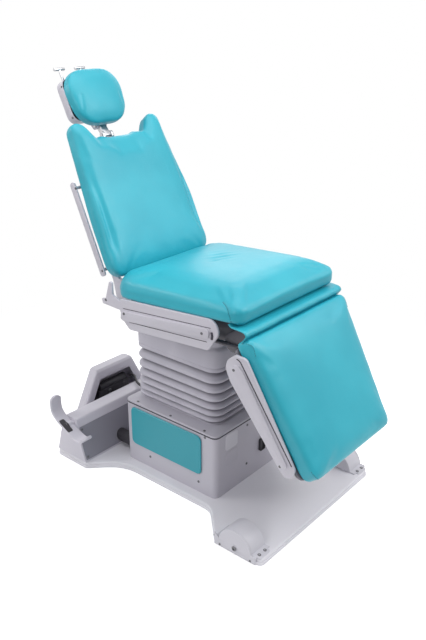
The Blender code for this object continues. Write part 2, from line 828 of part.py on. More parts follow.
def build_bellows():
    crest = outline(
        rectangle(
            -BELLOWS_HALF_X,
            BELLOWS_Y - BELLOWS_HALF_Y,
            BELLOWS_HALF_X,
            BELLOWS_Y + BELLOWS_HALF_Y,
            BELLOWS_ROUND,
        ),
        steps=5,
    )
    rings = []
    for height, depth in bellows_rows():
        ring = inset(crest, depth * BELLOWS_FOLD)
        rings.append([(u, v, height) for u, v in ring])
    bore = inset(crest, BELLOWS_FOLD + BELLOWS_WALL)
    rings.append([(u, v, BELLOWS_HEIGHT) for u, v in bore])
    rings.append([(u, v, 0.0) for u, v in bore])
    loft("bellows", rings, "bellows_rubber", at=(0, 0, BELLOWS_LOW), joined=True)


def build_rear():
    """The cross beam with its panel, the hood behind it, and what the hood holds."""
    top = DECK + BEAM_HEIGHT
    front = [(y, DECK + height) for y, height in smooth_line(BEAM_FRONT_LINE, 3)]
    rounded_top = outline([
        (*front[-1], 0.0),
        (BEAM_FOOT_BACK, DECK, 0.0),
        (BEAM_TOP_BACK, top, 0.03),
        (front[-1][0] + 0.004, top, 0.014),
    ])
    beam_outline = front[:-1][::-1] + rounded_top[1:] + [front[-1]]
    beam = plate("rear_beam", beam_outline, 2 * BEAM_HALF, "x", "paint")
    hollow = inset(beam_outline, BEAM_WALL)
    low = DECK + 2 * BEAM_WALL
    below = [(y, height - 2 * BEAM_WALL if height < low else height) for y, height in hollow]
    cut(beam, plate("beam_hollow", below, 2 * (BEAM_HALF - BEAM_WALL), "x", "paint"))

    panel_line = inset(front[::-1], -GAP - BEAM_PANEL_THICK / 2)
    panel = ribbon(panel_line[1:-1], BEAM_PANEL_THICK)
    plate("beam_panel", panel, 2 * (BEAM_HALF - BEAM_END_MARGIN), "x", "dark_paint")

    foot_ring = outline(mirrored([(HOOD_FOOT_HALF, HOOD_FRONT, 0.012), (HOOD_BACK_HALF, HOOD_BACK, 0.03)]))
    top_ring = outline(mirrored([(HOOD_TOP_HALF, HOOD_FRONT, 0.008), (HOOD_TOP_HALF, HOOD_TOP_BACK, 0.02)]))
    rings = [
        [(u, v, DECK) for u, v in foot_ring],
        [(u, v, DECK + HOOD_SKIRT) for u, v in foot_ring],
        [(u, v, DECK + HOOD_HEIGHT - 0.008) for u, v in top_ring],
        [(u, v, DECK + HOOD_HEIGHT) for u, v in inset(top_ring, 0.007)],
    ]
    hood = shell(loft("rear_hood", rings, "paint", low_cap=False), HOOD_WALL)
    mouth_top = DECK + HOOD_HEIGHT - HOOD_RIM
    mouth_low = DECK + HOOD_RIM
    slope = (HOOD_FOOT_HALF - HOOD_TOP_HALF) / HOOD_HEIGHT
    mouth_top_half = HOOD_TOP_HALF + slope * HOOD_RIM - HOOD_RIM
    mouth_low_half = HOOD_FOOT_HALF - slope * HOOD_RIM - HOOD_RIM
    mouth = outline([
        (-mouth_low_half, mouth_low, 0.01),
        (mouth_low_half, mouth_low, 0.01),
        (mouth_top_half, mouth_top, 0.01),
        (-mouth_top_half, mouth_top, 0.01),
    ])
    mouth_depth = 2 * (DRIVE_FRONT - HOOD_FRONT)
    cut(hood, plate("hood_mouth", mouth, mouth_depth, "y", "paint", at=(0, HOOD_FRONT, 0)))

    drive_y = (DRIVE_FRONT + DRIVE_BACK) / 2
    drive_size = (2 * DRIVE_HALF, DRIVE_BACK - DRIVE_FRONT, DRIVE_HEIGHT)
    drive = block("drive_unit", drive_size, "black_rubber", at=(0, drive_y, DECK + DRIVE_HEIGHT / 2))
    motor_z = DECK + DRIVE_HEIGHT + DRIVE_MOTOR_RADIUS * 0.4
    motor_at = (0, DRIVE_FRONT + DRIVE_MOTOR_RADIUS, motor_z)
    motor_length = 2 * DRIVE_HALF - 0.02
    join(drive, bar("drive_motor", DRIVE_MOTOR_RADIUS, motor_length, "x", "black_rubber", at=motor_at))
    boot_back = BEAM_TOP_BACK
    boot_front = COLUMN_HALF_Y + GAP
    boot_at = (BOOT_X, (boot_front + boot_back) / 2, BOOT_Z)
    boot = bar("cable_boot", BOOT_RADIUS, boot_back - boot_front, "y", "black_rubber", at=boot_at)
    trim = inset(beam_outline, -2 * GAP - BEAM_PANEL_THICK)
    cut(boot, plate("boot_trim", trim, 2 * BEAM_HALF, "x", "black_rubber"))


def build_hose():
    curve = bpy.data.curves.new("drive_hose", "CURVE")
    curve.dimensions = "3D"
    curve.bevel_depth = HOSE_RADIUS
    curve.bevel_resolution = 2
    curve.use_fill_caps = True
    line = smooth_line(HOSE_ROUTE, 3)
    spline = curve.splines.new("POLY")
    spline.points.add(len(line) - 1)
    for target, point in zip(spline.points, line):
        target.co = (*point, 1.0)
    curve.materials.append(material("black_rubber"))
    PARTS.objects.link(bpy.data.objects.new("drive_hose", curve))


def build_pedal():
    """A bent rocker strip on a boss at the right end of the beam."""
    axis = frame("pedal_axis", (0, PEDAL_PIVOT_Y, PEDAL_PIVOT_Z))
    line = smooth_line(PEDAL_CENTRE_LINE, 3)
    local = [(v - PEDAL_PIVOT_Y, height - PEDAL_PIVOT_Z) for v, height in line]
    inner = BEAM_HALF + PEDAL_OFFSET
    strip_at = (-(inner + PEDAL_WIDTH / 2), 0, 0)
    strip = ribbon(local, PEDAL_THICK)
    pedal = plate("foot_pedal", strip, PEDAL_WIDTH, "x", "paint", at=strip_at, parent=axis, edge=0.003)
    boss_start = BEAM_HALF + GAP
    boss_length = PEDAL_OFFSET - GAP + PEDAL_WIDTH * 0.6
    boss_at = (-(boss_start + boss_length / 2), 0, 0)
    join(pedal, bar("pedal_boss", PEDAL_BOSS_RADIUS, boss_length, "x", "paint", at=boss_at, parent=axis))


def seat_underside(y):
    """Height of the cushion's flat underside."""
    return SEAT_BASE + SEAT_RISE - math.tan(math.radians(SEAT_RAKE)) * y


def member_top(y):
    """Height of the seat members' top edge, just under the seat board."""
    return seat_underside(y) - (BOARD_THICK + 2 * GAP) / math.cos(math.radians(SEAT_RAKE))


def tube_height(y):
    return seat_underside(y) - BOARD_THICK - CROSS_TUBE_DROP


def build_seat(lift):
    lug = LUG_RADIUS
    side_view = outline([
        (LEG_AXIS_Y + 0.165, SEAT_BASE, 0.02),
        (BACK_AXIS_Y - 0.04, SEAT_BASE, 0.02),
        (BACK_AXIS_Y + lug, BACK_AXIS_Z - lug, lug * 0.95),
        (BACK_AXIS_Y + lug, BACK_AXIS_Z + lug, lug * 0.95),
        (BACK_AXIS_Y - lug, BACK_AXIS_Z + lug, lug * 0.95),
        (BOARD_BACK + 0.004, member_top(BOARD_BACK + 0.004), 0.0),
        (BOARD_FRONT + 0.03, member_top(BOARD_FRONT + 0.03), 0.01),
        (LEG_AXIS_Y - lug, LEG_AXIS_Z + lug, lug * 0.95),
        (LEG_AXIS_Y - lug, LEG_AXIS_Z - lug, lug * 0.95),
    ])
    shaft_hole = SHAFT_RADIUS + RUNNING_FIT
    tube_hole = CROSS_TUBE_RADIUS + GAP
    holes = [
        circle(LEG_AXIS_Y, LEG_AXIS_Z, shaft_hole),
        circle(BACK_AXIS_Y, BACK_AXIS_Z, shaft_hole),
        circle(FRONT_TUBE_Y, tube_height(FRONT_TUBE_Y), tube_hole),
        circle(REAR_TUBE_Y, tube_height(REAR_TUBE_Y), tube_hole),
    ]
    guard = outline([
        (BACK_AXIS_Y - 0.116, SEAT_BASE - 0.004, 0.02),
        (BACK_AXIS_Y - 0.056, SEAT_BASE + 0.052, 0.02),
        (BACK_AXIS_Y - 0.056, seat_underside(BACK_AXIS_Y - 0.056) - 0.004, 0.016),
        (LEG_AXIS_Y + 0.08, seat_underside(LEG_AXIS_Y + 0.08) - 0.004, 0.05),
        (LEG_AXIS_Y + 0.057, SEAT_BASE + 0.092, 0.03),
        (LEG_AXIS_Y + 0.104, SEAT_BASE + 0.022, 0.02),
    ])
    guard_middle = SIDE_GUARD_X + SIDE_GUARD_THICK / 2
    rail_middle = SIDE_GUARD_X + SIDE_GUARD_THICK + RAIL_THICK / 2 - GAP
    rail_front = LEG_AXIS_Y + 0.096
    rail_back = BACK_AXIS_Y - 0.068
    band = []
    rail_corners = (
        (rail_back, 0.081),
        (rail_back, 0.081 - SIDE_RAIL_HEIGHT),
        (rail_front, 0.036),
        (rail_front, 0.069),
    )
    for y, drop in rail_corners:
        band.append((y, seat_underside(y) - drop, 0.012))
    rail = outline(band)
    bracket = outline([
        (BACK_AXIS_Y - 0.09, BACK_AXIS_Z - 0.045, 0.0),
        (BACK_AXIS_Y + 0.032, BACK_AXIS_Z - 0.039, 0.004),
        (BACK_AXIS_Y + 0.037, BACK_AXIS_Z - 0.021, 0.004),
        (BACK_AXIS_Y + 0.016, BACK_AXIS_Z - 0.018, 0.004),
        (BACK_AXIS_Y - 0.006, BACK_AXIS_Z + 0.05, 0.005),
        (BACK_AXIS_Y - 0.019, BACK_AXIS_Z + 0.05, 0.005),
        (BACK_AXIS_Y - 0.019, BACK_AXIS_Z + 0.003, 0.01),
        (BACK_AXIS_Y - 0.09, BACK_AXIS_Z - 0.023, 0.0),
    ], steps=3)
    bracket_x = SIDE_GUARD_X + BRACKET_THICK / 2
    for word, side in SIDES.items():
        member_at = (side * MEMBER_X, 0, 0)
        plate(
            "seat_member_" + word,
            side_view,
            MEMBER_THICK,
            "x",
            "dark_paint",
            at=member_at,
            parent=lift,
            holes=holes,
        )
        side_guard = plate(
            "seat_side_guard_" + word,
            guard,
            SIDE_GUARD_THICK,
            "x",
            "paint",
            at=(side * guard_middle, 0, 0),
            parent=lift,
            edge=0.002,
        )
        join(
            side_guard,
            plate(
                "seat_rail_" + word,
                rail,
                RAIL_THICK,
                "x",
                "paint",
                at=(side * rail_middle, 0, 0),
                parent=lift,
            ),
            plate(
                "back_bracket_" + word,
                bracket,
                BRACKET_THICK,
                "x",
                "paint",
                at=(side * bracket_x, 0, 0),
                parent=lift,
            ),
        )
    for word, y in (("front", FRONT_TUBE_Y), ("rear", REAR_TUBE_Y)):
        length = 2 * (SIDE_GUARD_X - GAP)
        tube_at = (0, y, tube_height(y))
        bar("cross_tube_" + word, CROSS_TUBE_RADIUS, length, "x", "steel", at=tube_at, parent=lift)
    shaft_length = 2 * (ARM_X + ARM_THICK / 2 + 0.002)
    leg_at = (0, LEG_AXIS_Y, LEG_AXIS_Z)
    back_at = (0, BACK_AXIS_Y, BACK_AXIS_Z)
    bar("leg_hinge_shaft", SHAFT_RADIUS, shaft_length, "x", "steel", at=leg_at, parent=lift)
    bar("back_hinge_shaft", SHAFT_RADIUS, shaft_length, "x", "steel", at=back_at, parent=lift)

    rake = frame("seat_rake", (0, 0, seat_underside(0)), parent=lift, tilt=-SEAT_RAKE)
    stretch = 1 / math.cos(math.radians(SEAT_RAKE))
    board_size = (2 * BOARD_HALF, (BOARD_BACK - BOARD_FRONT) * stretch, BOARD_THICK)
    board_at = (0, (BOARD_BACK + BOARD_FRONT) / 2 * stretch, -GAP - BOARD_THICK / 2)
    block("seat_board", board_size, "board", at=board_at, parent=rake)

    def place(u, v, height):
        past_board = max(0.0, (SEAT_FRONT + SEAT_SOLE - v) / SEAT_SOLE)
        nose = SEAT_NOSE_DROP * past_board * max(0.0, 1 - height / SEAT_ROUND)
        return (u, v, seat_underside(v) - nose + height)

    def depth(v):
        rise = SEAT_EDGE_RISE + SEAT_TOP_SLOPE * ((SEAT_FRONT + SEAT_BACK) / 2 - v)
        return SEAT_BASE + rise - seat_underside(v)

    corners = [
        (-SEAT_HALF, SEAT_FRONT, 0.05),
        (SEAT_HALF, SEAT_FRONT, 0.05),
        (SEAT_HALF, SEAT_BACK, 0.07),
        (-SEAT_HALF, SEAT_BACK, 0.07),
    ]
    cushion("seat_cushion", corners, depth, SEAT_CROWN, (0.013, SEAT_ROUND), 0.004, place, lift, SEAT_SOLE)


def build_apron(lift):
    """The loose fold of vinyl that closes the gap between the seat front and the leg rest."""
    start = BOARD_FRONT - APRON_THICK / 2 - GAP
    line = [
        (start, seat_underside(start) - APRON_TUCK),
        (start - APRON_STEP, LEG_AXIS_Z + APRON_FOLD[0][1] + APRON_THICK * 0.7),
    ]
    for forward, rise in APRON_FOLD:
        line.append((LEG_AXIS_Y - forward, LEG_AXIS_Z + rise))
    sheet = ribbon(smooth_line(line, 4), APRON_THICK)
    plate("apron", sheet, 2 * (LEG_TOP_HALF - APRON_MARGIN), "x", "vinyl", parent=lift)


def crank_tip(tilt, lean):
    """Place of a crank's pin in its own tilted group: straight down at half travel, so leaning at rest."""
    turn = math.radians(lean)
    swing = math.radians(tilt)
    y = CRANK_RADIUS * math.sin(turn)
    z = -CRANK_RADIUS * math.cos(turn)
    return (
        y * math.cos(swing) - z * math.sin(swing),
        y * math.sin(swing) + z * math.cos(swing),
    )


def build_leg(lift):
    leg = frame("leg_axis", (0, LEG_AXIS_Y, LEG_AXIS_Z), parent=lift, tilt=-LEG_ANGLE)
    corners = mirrored([
        (LEG_BOTTOM_HALF, -LEG_PAD_BOTTOM, 0.038),
        (LEG_TOP_HALF, -LEG_PAD_TOP, 0.016),
    ])

    def place(u, v, height):
        return (u, LEG_BACK - height, v)

    cushion("leg_cushion", corners, lambda v: LEG_PAD_DEPTH, LEG_CROWN, (0.006, 0.011), 0.0005, place, leg)
    board_y = LEG_BACK + GAP + BOARD_THICK / 2
    taper = (LEG_TOP_HALF - LEG_BOTTOM_HALF) / (LEG_PAD_BOTTOM - LEG_PAD_TOP)
    board = mirrored([
        (LEG_BOTTOM_HALF, -LEG_PAD_BOTTOM, 0.038),
        (LEG_TOP_HALF - taper * LEG_BOARD_DROP, -LEG_PAD_TOP - LEG_BOARD_DROP, 0.016),
    ])
    plate("leg_board", outline(board), BOARD_THICK, "y", "paint", at=(0, board_y, 0), parent=leg)

    behind = LEG_BACK + 2 * GAP + BOARD_THICK
    tip_y, tip_z = crank_tip(LEG_ANGLE, LEG_CRANK_LEAN)
    lug = LUG_RADIUS * 0.95
    arm = outline([
        (-lug, lug, lug * 0.95),
        (-lug, -lug, lug * 0.95),
        (behind, -LEG_PAD_TOP - 0.004, 0.003),
        (behind, -LEG_ARM_LENGTH, 0.006),
        (behind + LEG_ARM_WIDTH, -LEG_ARM_LENGTH, 0.014),
        (behind + LEG_ARM_WIDTH, tip_z - 0.05, 0.03),
        (tip_y + CRANK_TIP_RADIUS, tip_z - CRANK_TIP_RADIUS, CRANK_TIP_RADIUS * 0.9),
        (tip_y + CRANK_TIP_RADIUS, tip_z + CRANK_TIP_RADIUS, CRANK_TIP_RADIUS * 0.9),
        (lug, lug, lug * 0.95),
    ])
    holes = [circle(0, 0, SHAFT_RADIUS + RUNNING_FIT), circle(tip_y, tip_z, CRANK_PIN_RADIUS, sides=14)]
    toe = math.degrees(math.atan2(LEG_TOP_HALF - LEG_BOTTOM_HALF, LEG_PAD_BOTTOM - LEG_PAD_TOP))
    guard = outline([
        (0.016, -0.024, 0.012),
        (-0.018, -0.048, 0.02),
        (0.004, -0.415, 0.02),
        (0.034, -0.442, 0.02),
        (0.064, -0.43, 0.02),
        (0.089, -0.098, 0.03),
        (0.08, -0.05, 0.03),
        (0.055, -0.03, 0.02),
    ])
    rail = outline([
        (0.02, -0.055, 0.01),
        (0.02 - 0.006, -0.085, 0.02),
        (0.022, -0.40, 0.012),
        (0.046, -0.40, 0.012),
        (0.056, -0.085, 0.02),
        (0.05, -0.055, 0.012),
    ])
    for word, side in SIDES.items():
        plate(
            "leg_arm_" + word,
            arm,
            ARM_THICK,
            "x",
            "dark_paint",
            at=(side * ARM_X, 0, 0),
            parent=leg,
            holes=holes,
        )
        side_frame = frame(
            "leg_side_" + word,
            (side * (LEG_TOP_HALF + 2 * GAP), 0, -LEG_PAD_TOP),
            parent=leg,
            lean=side * toe,
        )
        middle = side * SIDE_GUARD_THICK / 2
        rail_middle = side * (SIDE_GUARD_THICK + RAIL_THICK / 2 - GAP)
        side_guard = plate(
            "leg_side_guard_" + word,
            guard,
            SIDE_GUARD_THICK,
            "x",
            "paint",
            at=(middle, 0, 0),
            parent=side_frame,
            edge=0.002,
        )
        join(
            side_guard,
            plate(
                "leg_rail_" + word,
                rail,
                RAIL_THICK,
                "x",
                "paint",
                at=(rail_middle, 0, 0),
                parent=side_frame,
            ),
        )


def back_half(along):
    """Half the width of the back pad, at a distance along it from the back's axis."""
    if along < BACK_MIDDLE:
        share = (along - BACK_PAD_BOTTOM) / (BACK_MIDDLE - BACK_PAD_BOTTOM)
        return BACK_BOTTOM_HALF + (BACK_MIDDLE_HALF - BACK_BOTTOM_HALF) * share
    share = (along - BACK_MIDDLE) / (BACK_PAD_TOP - BACK_MIDDLE)
    return BACK_MIDDLE_HALF + (BACK_SHOULDER_HALF - BACK_MIDDLE_HALF) * share


def build_back(lift):
    back = frame("back_axis", (0, BACK_AXIS_Y, BACK_AXIS_Z), parent=lift, tilt=-BACK_ANGLE)
    corners = mirrored([
        (BACK_BOTTOM_HALF, BACK_PAD_BOTTOM, 0.05),
        (BACK_MIDDLE_HALF, BACK_MIDDLE, 0.9),
        (BACK_SHOULDER_HALF, BACK_PAD_TOP, 0.05),
        (NOTCH_HALF, BACK_PAD_TOP, 0.05),
        (NOTCH_FLOOR_HALF, BACK_PAD_TOP - NOTCH_DEPTH, 0.08),
    ])

    def place(u, v, height):
        return (u, BACK_BACK - height, v)

    insets = (BACK_PAD_TUCK, 0.012)
    cushion("back_cushion", corners, lambda v: BACK_PAD_DEPTH, BACK_CROWN, insets, 0.003, place, back)
    board_y = BACK_BACK + GAP + BOARD_THICK / 2
    board = [(u * BACK_BOARD_NARROWING, v) for u, v in inset(outline(corners), BACK_BOARD_INSET)]
    plate("back_board", board, BOARD_THICK, "y", "paint", at=(0, board_y, 0), parent=back)

    behind = BACK_BACK + 2 * GAP + BOARD_THICK
    tip_y, tip_z = crank_tip(BACK_ANGLE, BACK_CRANK_LEAN)
    lug = LUG_RADIUS * 0.95
    under_pad = BACK_PAD_BOTTOM - 0.004
    arm = outline([
        (-lug, -lug, lug * 0.95),
        (tip_y - CRANK_TIP_RADIUS, tip_z - CRANK_TIP_RADIUS, CRANK_TIP_RADIUS * 0.9),
        (tip_y + CRANK_TIP_RADIUS, tip_z - CRANK_TIP_RADIUS, CRANK_TIP_RADIUS * 0.9),
        (tip_y + CRANK_TIP_RADIUS, tip_z + CRANK_TIP_RADIUS, CRANK_TIP_RADIUS * 0.9),
        (behind + BACK_ARM_WIDTH, under_pad, 0.03),
        (behind + BACK_ARM_WIDTH, BACK_ARM_LENGTH, 0.014),
        (behind, BACK_ARM_LENGTH, 0.006),
        (behind, under_pad, 0.01),
        (-lug, lug, lug * 0.95),
    ])
    holes = [circle(0, 0, SHAFT_RADIUS + RUNNING_FIT), circle(tip_y, tip_z, CRANK_PIN_RADIUS, sides=14)]
    half_width = BACK_RAIL_WIDTH / 2
    rail_low = BACK_RAIL_LOW - BACK_PAD_BOTTOM
    rail_high = rail_low + BACK_RAIL_LENGTH
    rail_y = board_y + BACK_RAIL_BEHIND
    rail_outline = outline(rectangle(rail_y - half_width, rail_low, rail_y + half_width, rail_high, 0.011))
    for word, side in SIDES.items():
        plate(
            "back_arm_" + word,
            arm,
            ARM_THICK,
            "x",
            "dark_paint",
            at=(side * ARM_X, 0, 0),
            parent=back,
            holes=holes,
        )
        side_frame = frame(
            "back_side_" + word,
            (side * BACK_RAIL_X, 0, BACK_PAD_BOTTOM),
            parent=back,
            lean=-side * BACK_RAIL_TOE,
        )
        rail = plate("back_rail_" + word, rail_outline, BACK_RAIL_THICK, "x", "paint", parent=side_frame)
        toe = math.tan(math.radians(BACK_RAIL_TOE))
        for end, height in (("low", rail_low + STANDOFF_END), ("high", rail_high - STANDOFF_END)):
            pad_half = back_half(BACK_PAD_BOTTOM + height - STANDOFF_RADIUS)
            board_half = (pad_half - BACK_BOARD_INSET) * BACK_BOARD_NARROWING + 2 * GAP
            standoff_length = BACK_RAIL_X - board_half - toe * height
            standoff_at = (side * -standoff_length / 2, board_y, height)
            join(
                rail,
                bar(
                    "standoff_" + end + "_" + word,
                    STANDOFF_RADIUS,
                    standoff_length,
                    "x",
                    "black_rubber",
                    at=standoff_at,
                    parent=side_frame,
                ),
            )
    build_headrest(back)


def build_drive(word, side, axis_y, axis_z, lean, towards, lift):
    """A cylinder beside a seat member, whose rod ends in an eye by the crank of the back or leg frame."""
    turn = math.radians(lean)
    eye_y = axis_y + CRANK_RADIUS * math.sin(turn)
    rod_z = axis_z - CRANK_RADIUS * (1 + math.cos(turn)) / 2
    bore = DRIVE_ROD_RADIUS + RUNNING_FIT
    profile = (
        (0.0, 0.02),
        (bore, 0.02),
        (bore, DRIVE_BARREL_LENGTH),
        (DRIVE_BARREL_RADIUS, DRIVE_BARREL_LENGTH),
        (DRIVE_BARREL_RADIUS, 0.0),
        (0.0, 0.0),
    )
    foot_y = eye_y - towards * (DRIVE_BARREL_REACH + DRIVE_BARREL_LENGTH)
    barrel_at = (side * DRIVE_X, foot_y, rod_z)
    turned(word + "_drive_barrel", profile, "dark_paint", barrel_at, lift, tilt=-90 * towards)
    eye = frame(word + "_drive_rod_axis", (side * DRIVE_X, eye_y, rod_z), parent=lift)
    ring = plate(
        word + "_drive_rod",
        circle(0, 0, EYE_RADIUS),
        EYE_THICK,
        "x",
        "steel",
        parent=eye,
        holes=[circle(0, 0, CRANK_PIN_RADIUS, sides=14)],
    )
    rod_length = DRIVE_ROD_LENGTH
    rod_at = (0, -towards * (rod_length / 2 + EYE_RADIUS * 0.75), 0)
    rod = bar(word + "_drive_rod_bar", DRIVE_ROD_RADIUS, rod_length, "y", "steel", at=rod_at, parent=eye)
    join(ring, rod)


def build_headrest(back):
    post = frame("headrest_post_slide", (0, NECK_Y, LOWER_PIVOT), parent=back)
    ear_x = (KNUCKLE_HALF + GAP + POST_HALF) / 2
    ear_thick = POST_HALF - KNUCKLE_HALF - GAP
    pin_hole = circle(0, 0, NECK_PIN_RADIUS + RUNNING_FIT, sides=14)
    bar_top = LOWER_PIVOT - KNUCKLE_RADIUS - 0.004
    bar_size = (2 * POST_HALF, POST_THICK, bar_top - POST_LOW)
    bar_at = (0, 0, (bar_top + POST_LOW) / 2 - LOWER_PIVOT)
    post_bar = block("headrest_post", bar_size, "steel", at=bar_at, parent=post)
    ear = outline([
        (-POST_THICK * 0.45, -KNUCKLE_RADIUS - 0.012, 0.0),
        (POST_THICK * 0.45, -KNUCKLE_RADIUS - 0.012, 0.0),
        (KNUCKLE_RADIUS, -KNUCKLE_RADIUS, 0.003),
        (KNUCKLE_RADIUS, KNUCKLE_RADIUS, KNUCKLE_RADIUS * 0.95),
        (-KNUCKLE_RADIUS, KNUCKLE_RADIUS, KNUCKLE_RADIUS * 0.95),
        (-KNUCKLE_RADIUS, -KNUCKLE_RADIUS, 0.003),
    ])
    for word, side in SIDES.items():
        ear_at = (side * ear_x, 0, 0)
        join(
            post_bar,
            plate(
                "post_ear_" + word,
                ear,
                ear_thick,
                "x",
                "steel",
                at=ear_at,
                parent=post,
                holes=[pin_hole],
            ),
        )
    wide = POST_HALF + GUIDE_WALL
    inner = POST_HALF + RUNNING_FIT
    guide_front = POST_FRONT
    guide_deep = POST_FRONT + POST_THICK + RUNNING_FIT
    channel = [
        (inner, guide_front),
        (wide, guide_front),
        (wide, guide_deep + GUIDE_WALL),
        (-wide, guide_deep + GUIDE_WALL),
        (-wide, guide_front),
        (-inner, guide_front),
        (-inner, guide_deep),
        (inner, guide_deep),
    ]
    guide_at = (0, 0, GUIDE_LOW + GUIDE_LENGTH / 2)
    plate("post_guide", channel, GUIDE_LENGTH, "z", "dark_paint", at=guide_at, parent=back)

    lower = frame("neck_lower_axis", (0, 0, 0), parent=post)
    rise = UPPER_PIVOT - LOWER_PIVOT
    round_end = KNUCKLE_RADIUS * 0.97
    capsule = outline([
        (-KNUCKLE_RADIUS, -KNUCKLE_RADIUS, round_end),
        (KNUCKLE_RADIUS, -KNUCKLE_RADIUS, round_end),
        (UPPER_PIVOT_SETBACK + KNUCKLE_RADIUS, rise + KNUCKLE_RADIUS, round_end),
        (UPPER_PIVOT_SETBACK - KNUCKLE_RADIUS, rise + KNUCKLE_RADIUS, round_end),
    ])
    link = plate("neck_link", capsule, 2 * KNUCKLE_HALF, "x", "steel", parent=lower)
    pin_length = 2 * POST_HALF + 0.004
    join(
        link,
        bar("lower_neck_pin", NECK_PIN_RADIUS, pin_length, "x", "steel", parent=lower),
        bar(
            "upper_neck_pin",
            NECK_PIN_RADIUS,
            pin_length,
            "x",
            "steel",
            at=(0, UPPER_PIVOT_SETBACK, rise),
            parent=lower,
        ),
    )

    head = frame("neck_upper_axis", (0, UPPER_PIVOT_SETBACK, rise), parent=lower)
    shift_y = -NECK_Y - UPPER_PIVOT_SETBACK  # from the back's own plane to the upper pivot's
    head_back = HEAD_BACK + shift_y

    def place(u, v, height):
        return (u, head_back - height, v - UPPER_PIVOT)

    corners = mirrored([
        (HEAD_PAD_LOW_HALF, HEAD_PAD_LOW, HEAD_PAD_ROUND),
        (HEAD_PAD_HALF, HEAD_PAD_HIGH, HEAD_PAD_ROUND),
    ])
    insets = (0.008, 0.02)
    cushion("headrest_cushion", corners, lambda v: HEAD_PAD_DEPTH, HEAD_CROWN, insets, 0.001, place, head)

    around = outline(
        rectangle(-PAN_HALF, PAN_LOW - UPPER_PIVOT, PAN_HALF, PAN_HIGH - UPPER_PIVOT, PAN_ROUND)
    )
    pan_y = head_back + GAP + PAN_DEPTH / 2
    pan = plate("headrest_pan", around, PAN_DEPTH, "y", "paint", at=(0, pan_y, 0), parent=head)
    hollow = inset(around, PAN_WALL)
    cut(pan, plate("pan_hollow", hollow, PAN_DEPTH, "y", "paint", at=(0, pan_y - PAN_WALL, 0), parent=head))
    pan_back = pan_y + PAN_DEPTH / 2
    pan_foot = PAN_LOW - UPPER_PIVOT
    pan_ear = outline([
        (-KNUCKLE_RADIUS, -KNUCKLE_RADIUS, KNUCKLE_RADIUS * 0.95),
        (KNUCKLE_RADIUS, -KNUCKLE_RADIUS, KNUCKLE_RADIUS * 0.95),
        (pan_back + 0.006, pan_foot, 0.006),
        (pan_back + 0.006, pan_foot + 0.05, 0.004),
        (pan_back - 0.001, pan_foot + 0.05, 0.0),
        (pan_back - 0.001, pan_foot + PAN_WALL * 0.6, 0.0),
        (-KNUCKLE_RADIUS, pan_foot + PAN_WALL * 0.6, 0.0),
    ])
    for word, side in SIDES.items():
        ear_at = (side * ear_x, 0, 0)
        join(
            pan,
            plate(
                "pan_ear_" + word,
                pan_ear,
                ear_thick,
                "x",
                "paint",
                at=ear_at,
                parent=head,
                holes=[pin_hole],
            ),
        )
    for word, x in zip(("right", "left"), KNOB_X):
        knob_at = (x, KNOB_SETBACK + shift_y, PAN_HIGH - UPPER_PIVOT + GAP)
        knob = frame("clamp_knob_axis_" + word, knob_at, parent=head)
        stem_at = (0, 0, KNOB_STEM / 2)
        stem = bar("clamp_knob_" + word, KNOB_STEM_RADIUS, KNOB_STEM, "z", "steel", at=stem_at, parent=knob)
        bar_at = (0, 0, KNOB_STEM + KNOB_BAR_RADIUS * 0.5)
        join(stem, bar("knob_bar_" + word, KNOB_BAR_RADIUS, KNOB_BAR, "x", "steel", at=bar_at, parent=knob))


def build_chair():
    build_base()
    for word, side in SIDES.items():
        build_wheel(word, side)
    build_column()
    lift = frame("lift_axis", (0, 0, 0))
    build_lift(lift)
    build_bellows()
    build_rear()
    build_hose()
    build_pedal()
    build_seat(lift)
    build_apron(lift)
    build_leg(lift)
    build_back(lift)
    build_drive("back", 1, BACK_AXIS_Y, BACK_AXIS_Z, BACK_CRANK_LEAN, 1, lift)
    build_drive("leg", -1, LEG_AXIS_Y, LEG_AXIS_Z, LEG_CRANK_LEAN, -1, lift)


build_chair()
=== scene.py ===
"""The looks of an ear, nose and throat treatment chair, in metres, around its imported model."""

# %% [markdown]
# # A treatment chair, dressed
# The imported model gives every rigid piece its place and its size. This lesson adds what the eye expects on
# top of that: a camera, soft studio light, finishes, stuffed cushions, a pleated bellows and fasteners.

# %% Load the frame
import json
import math

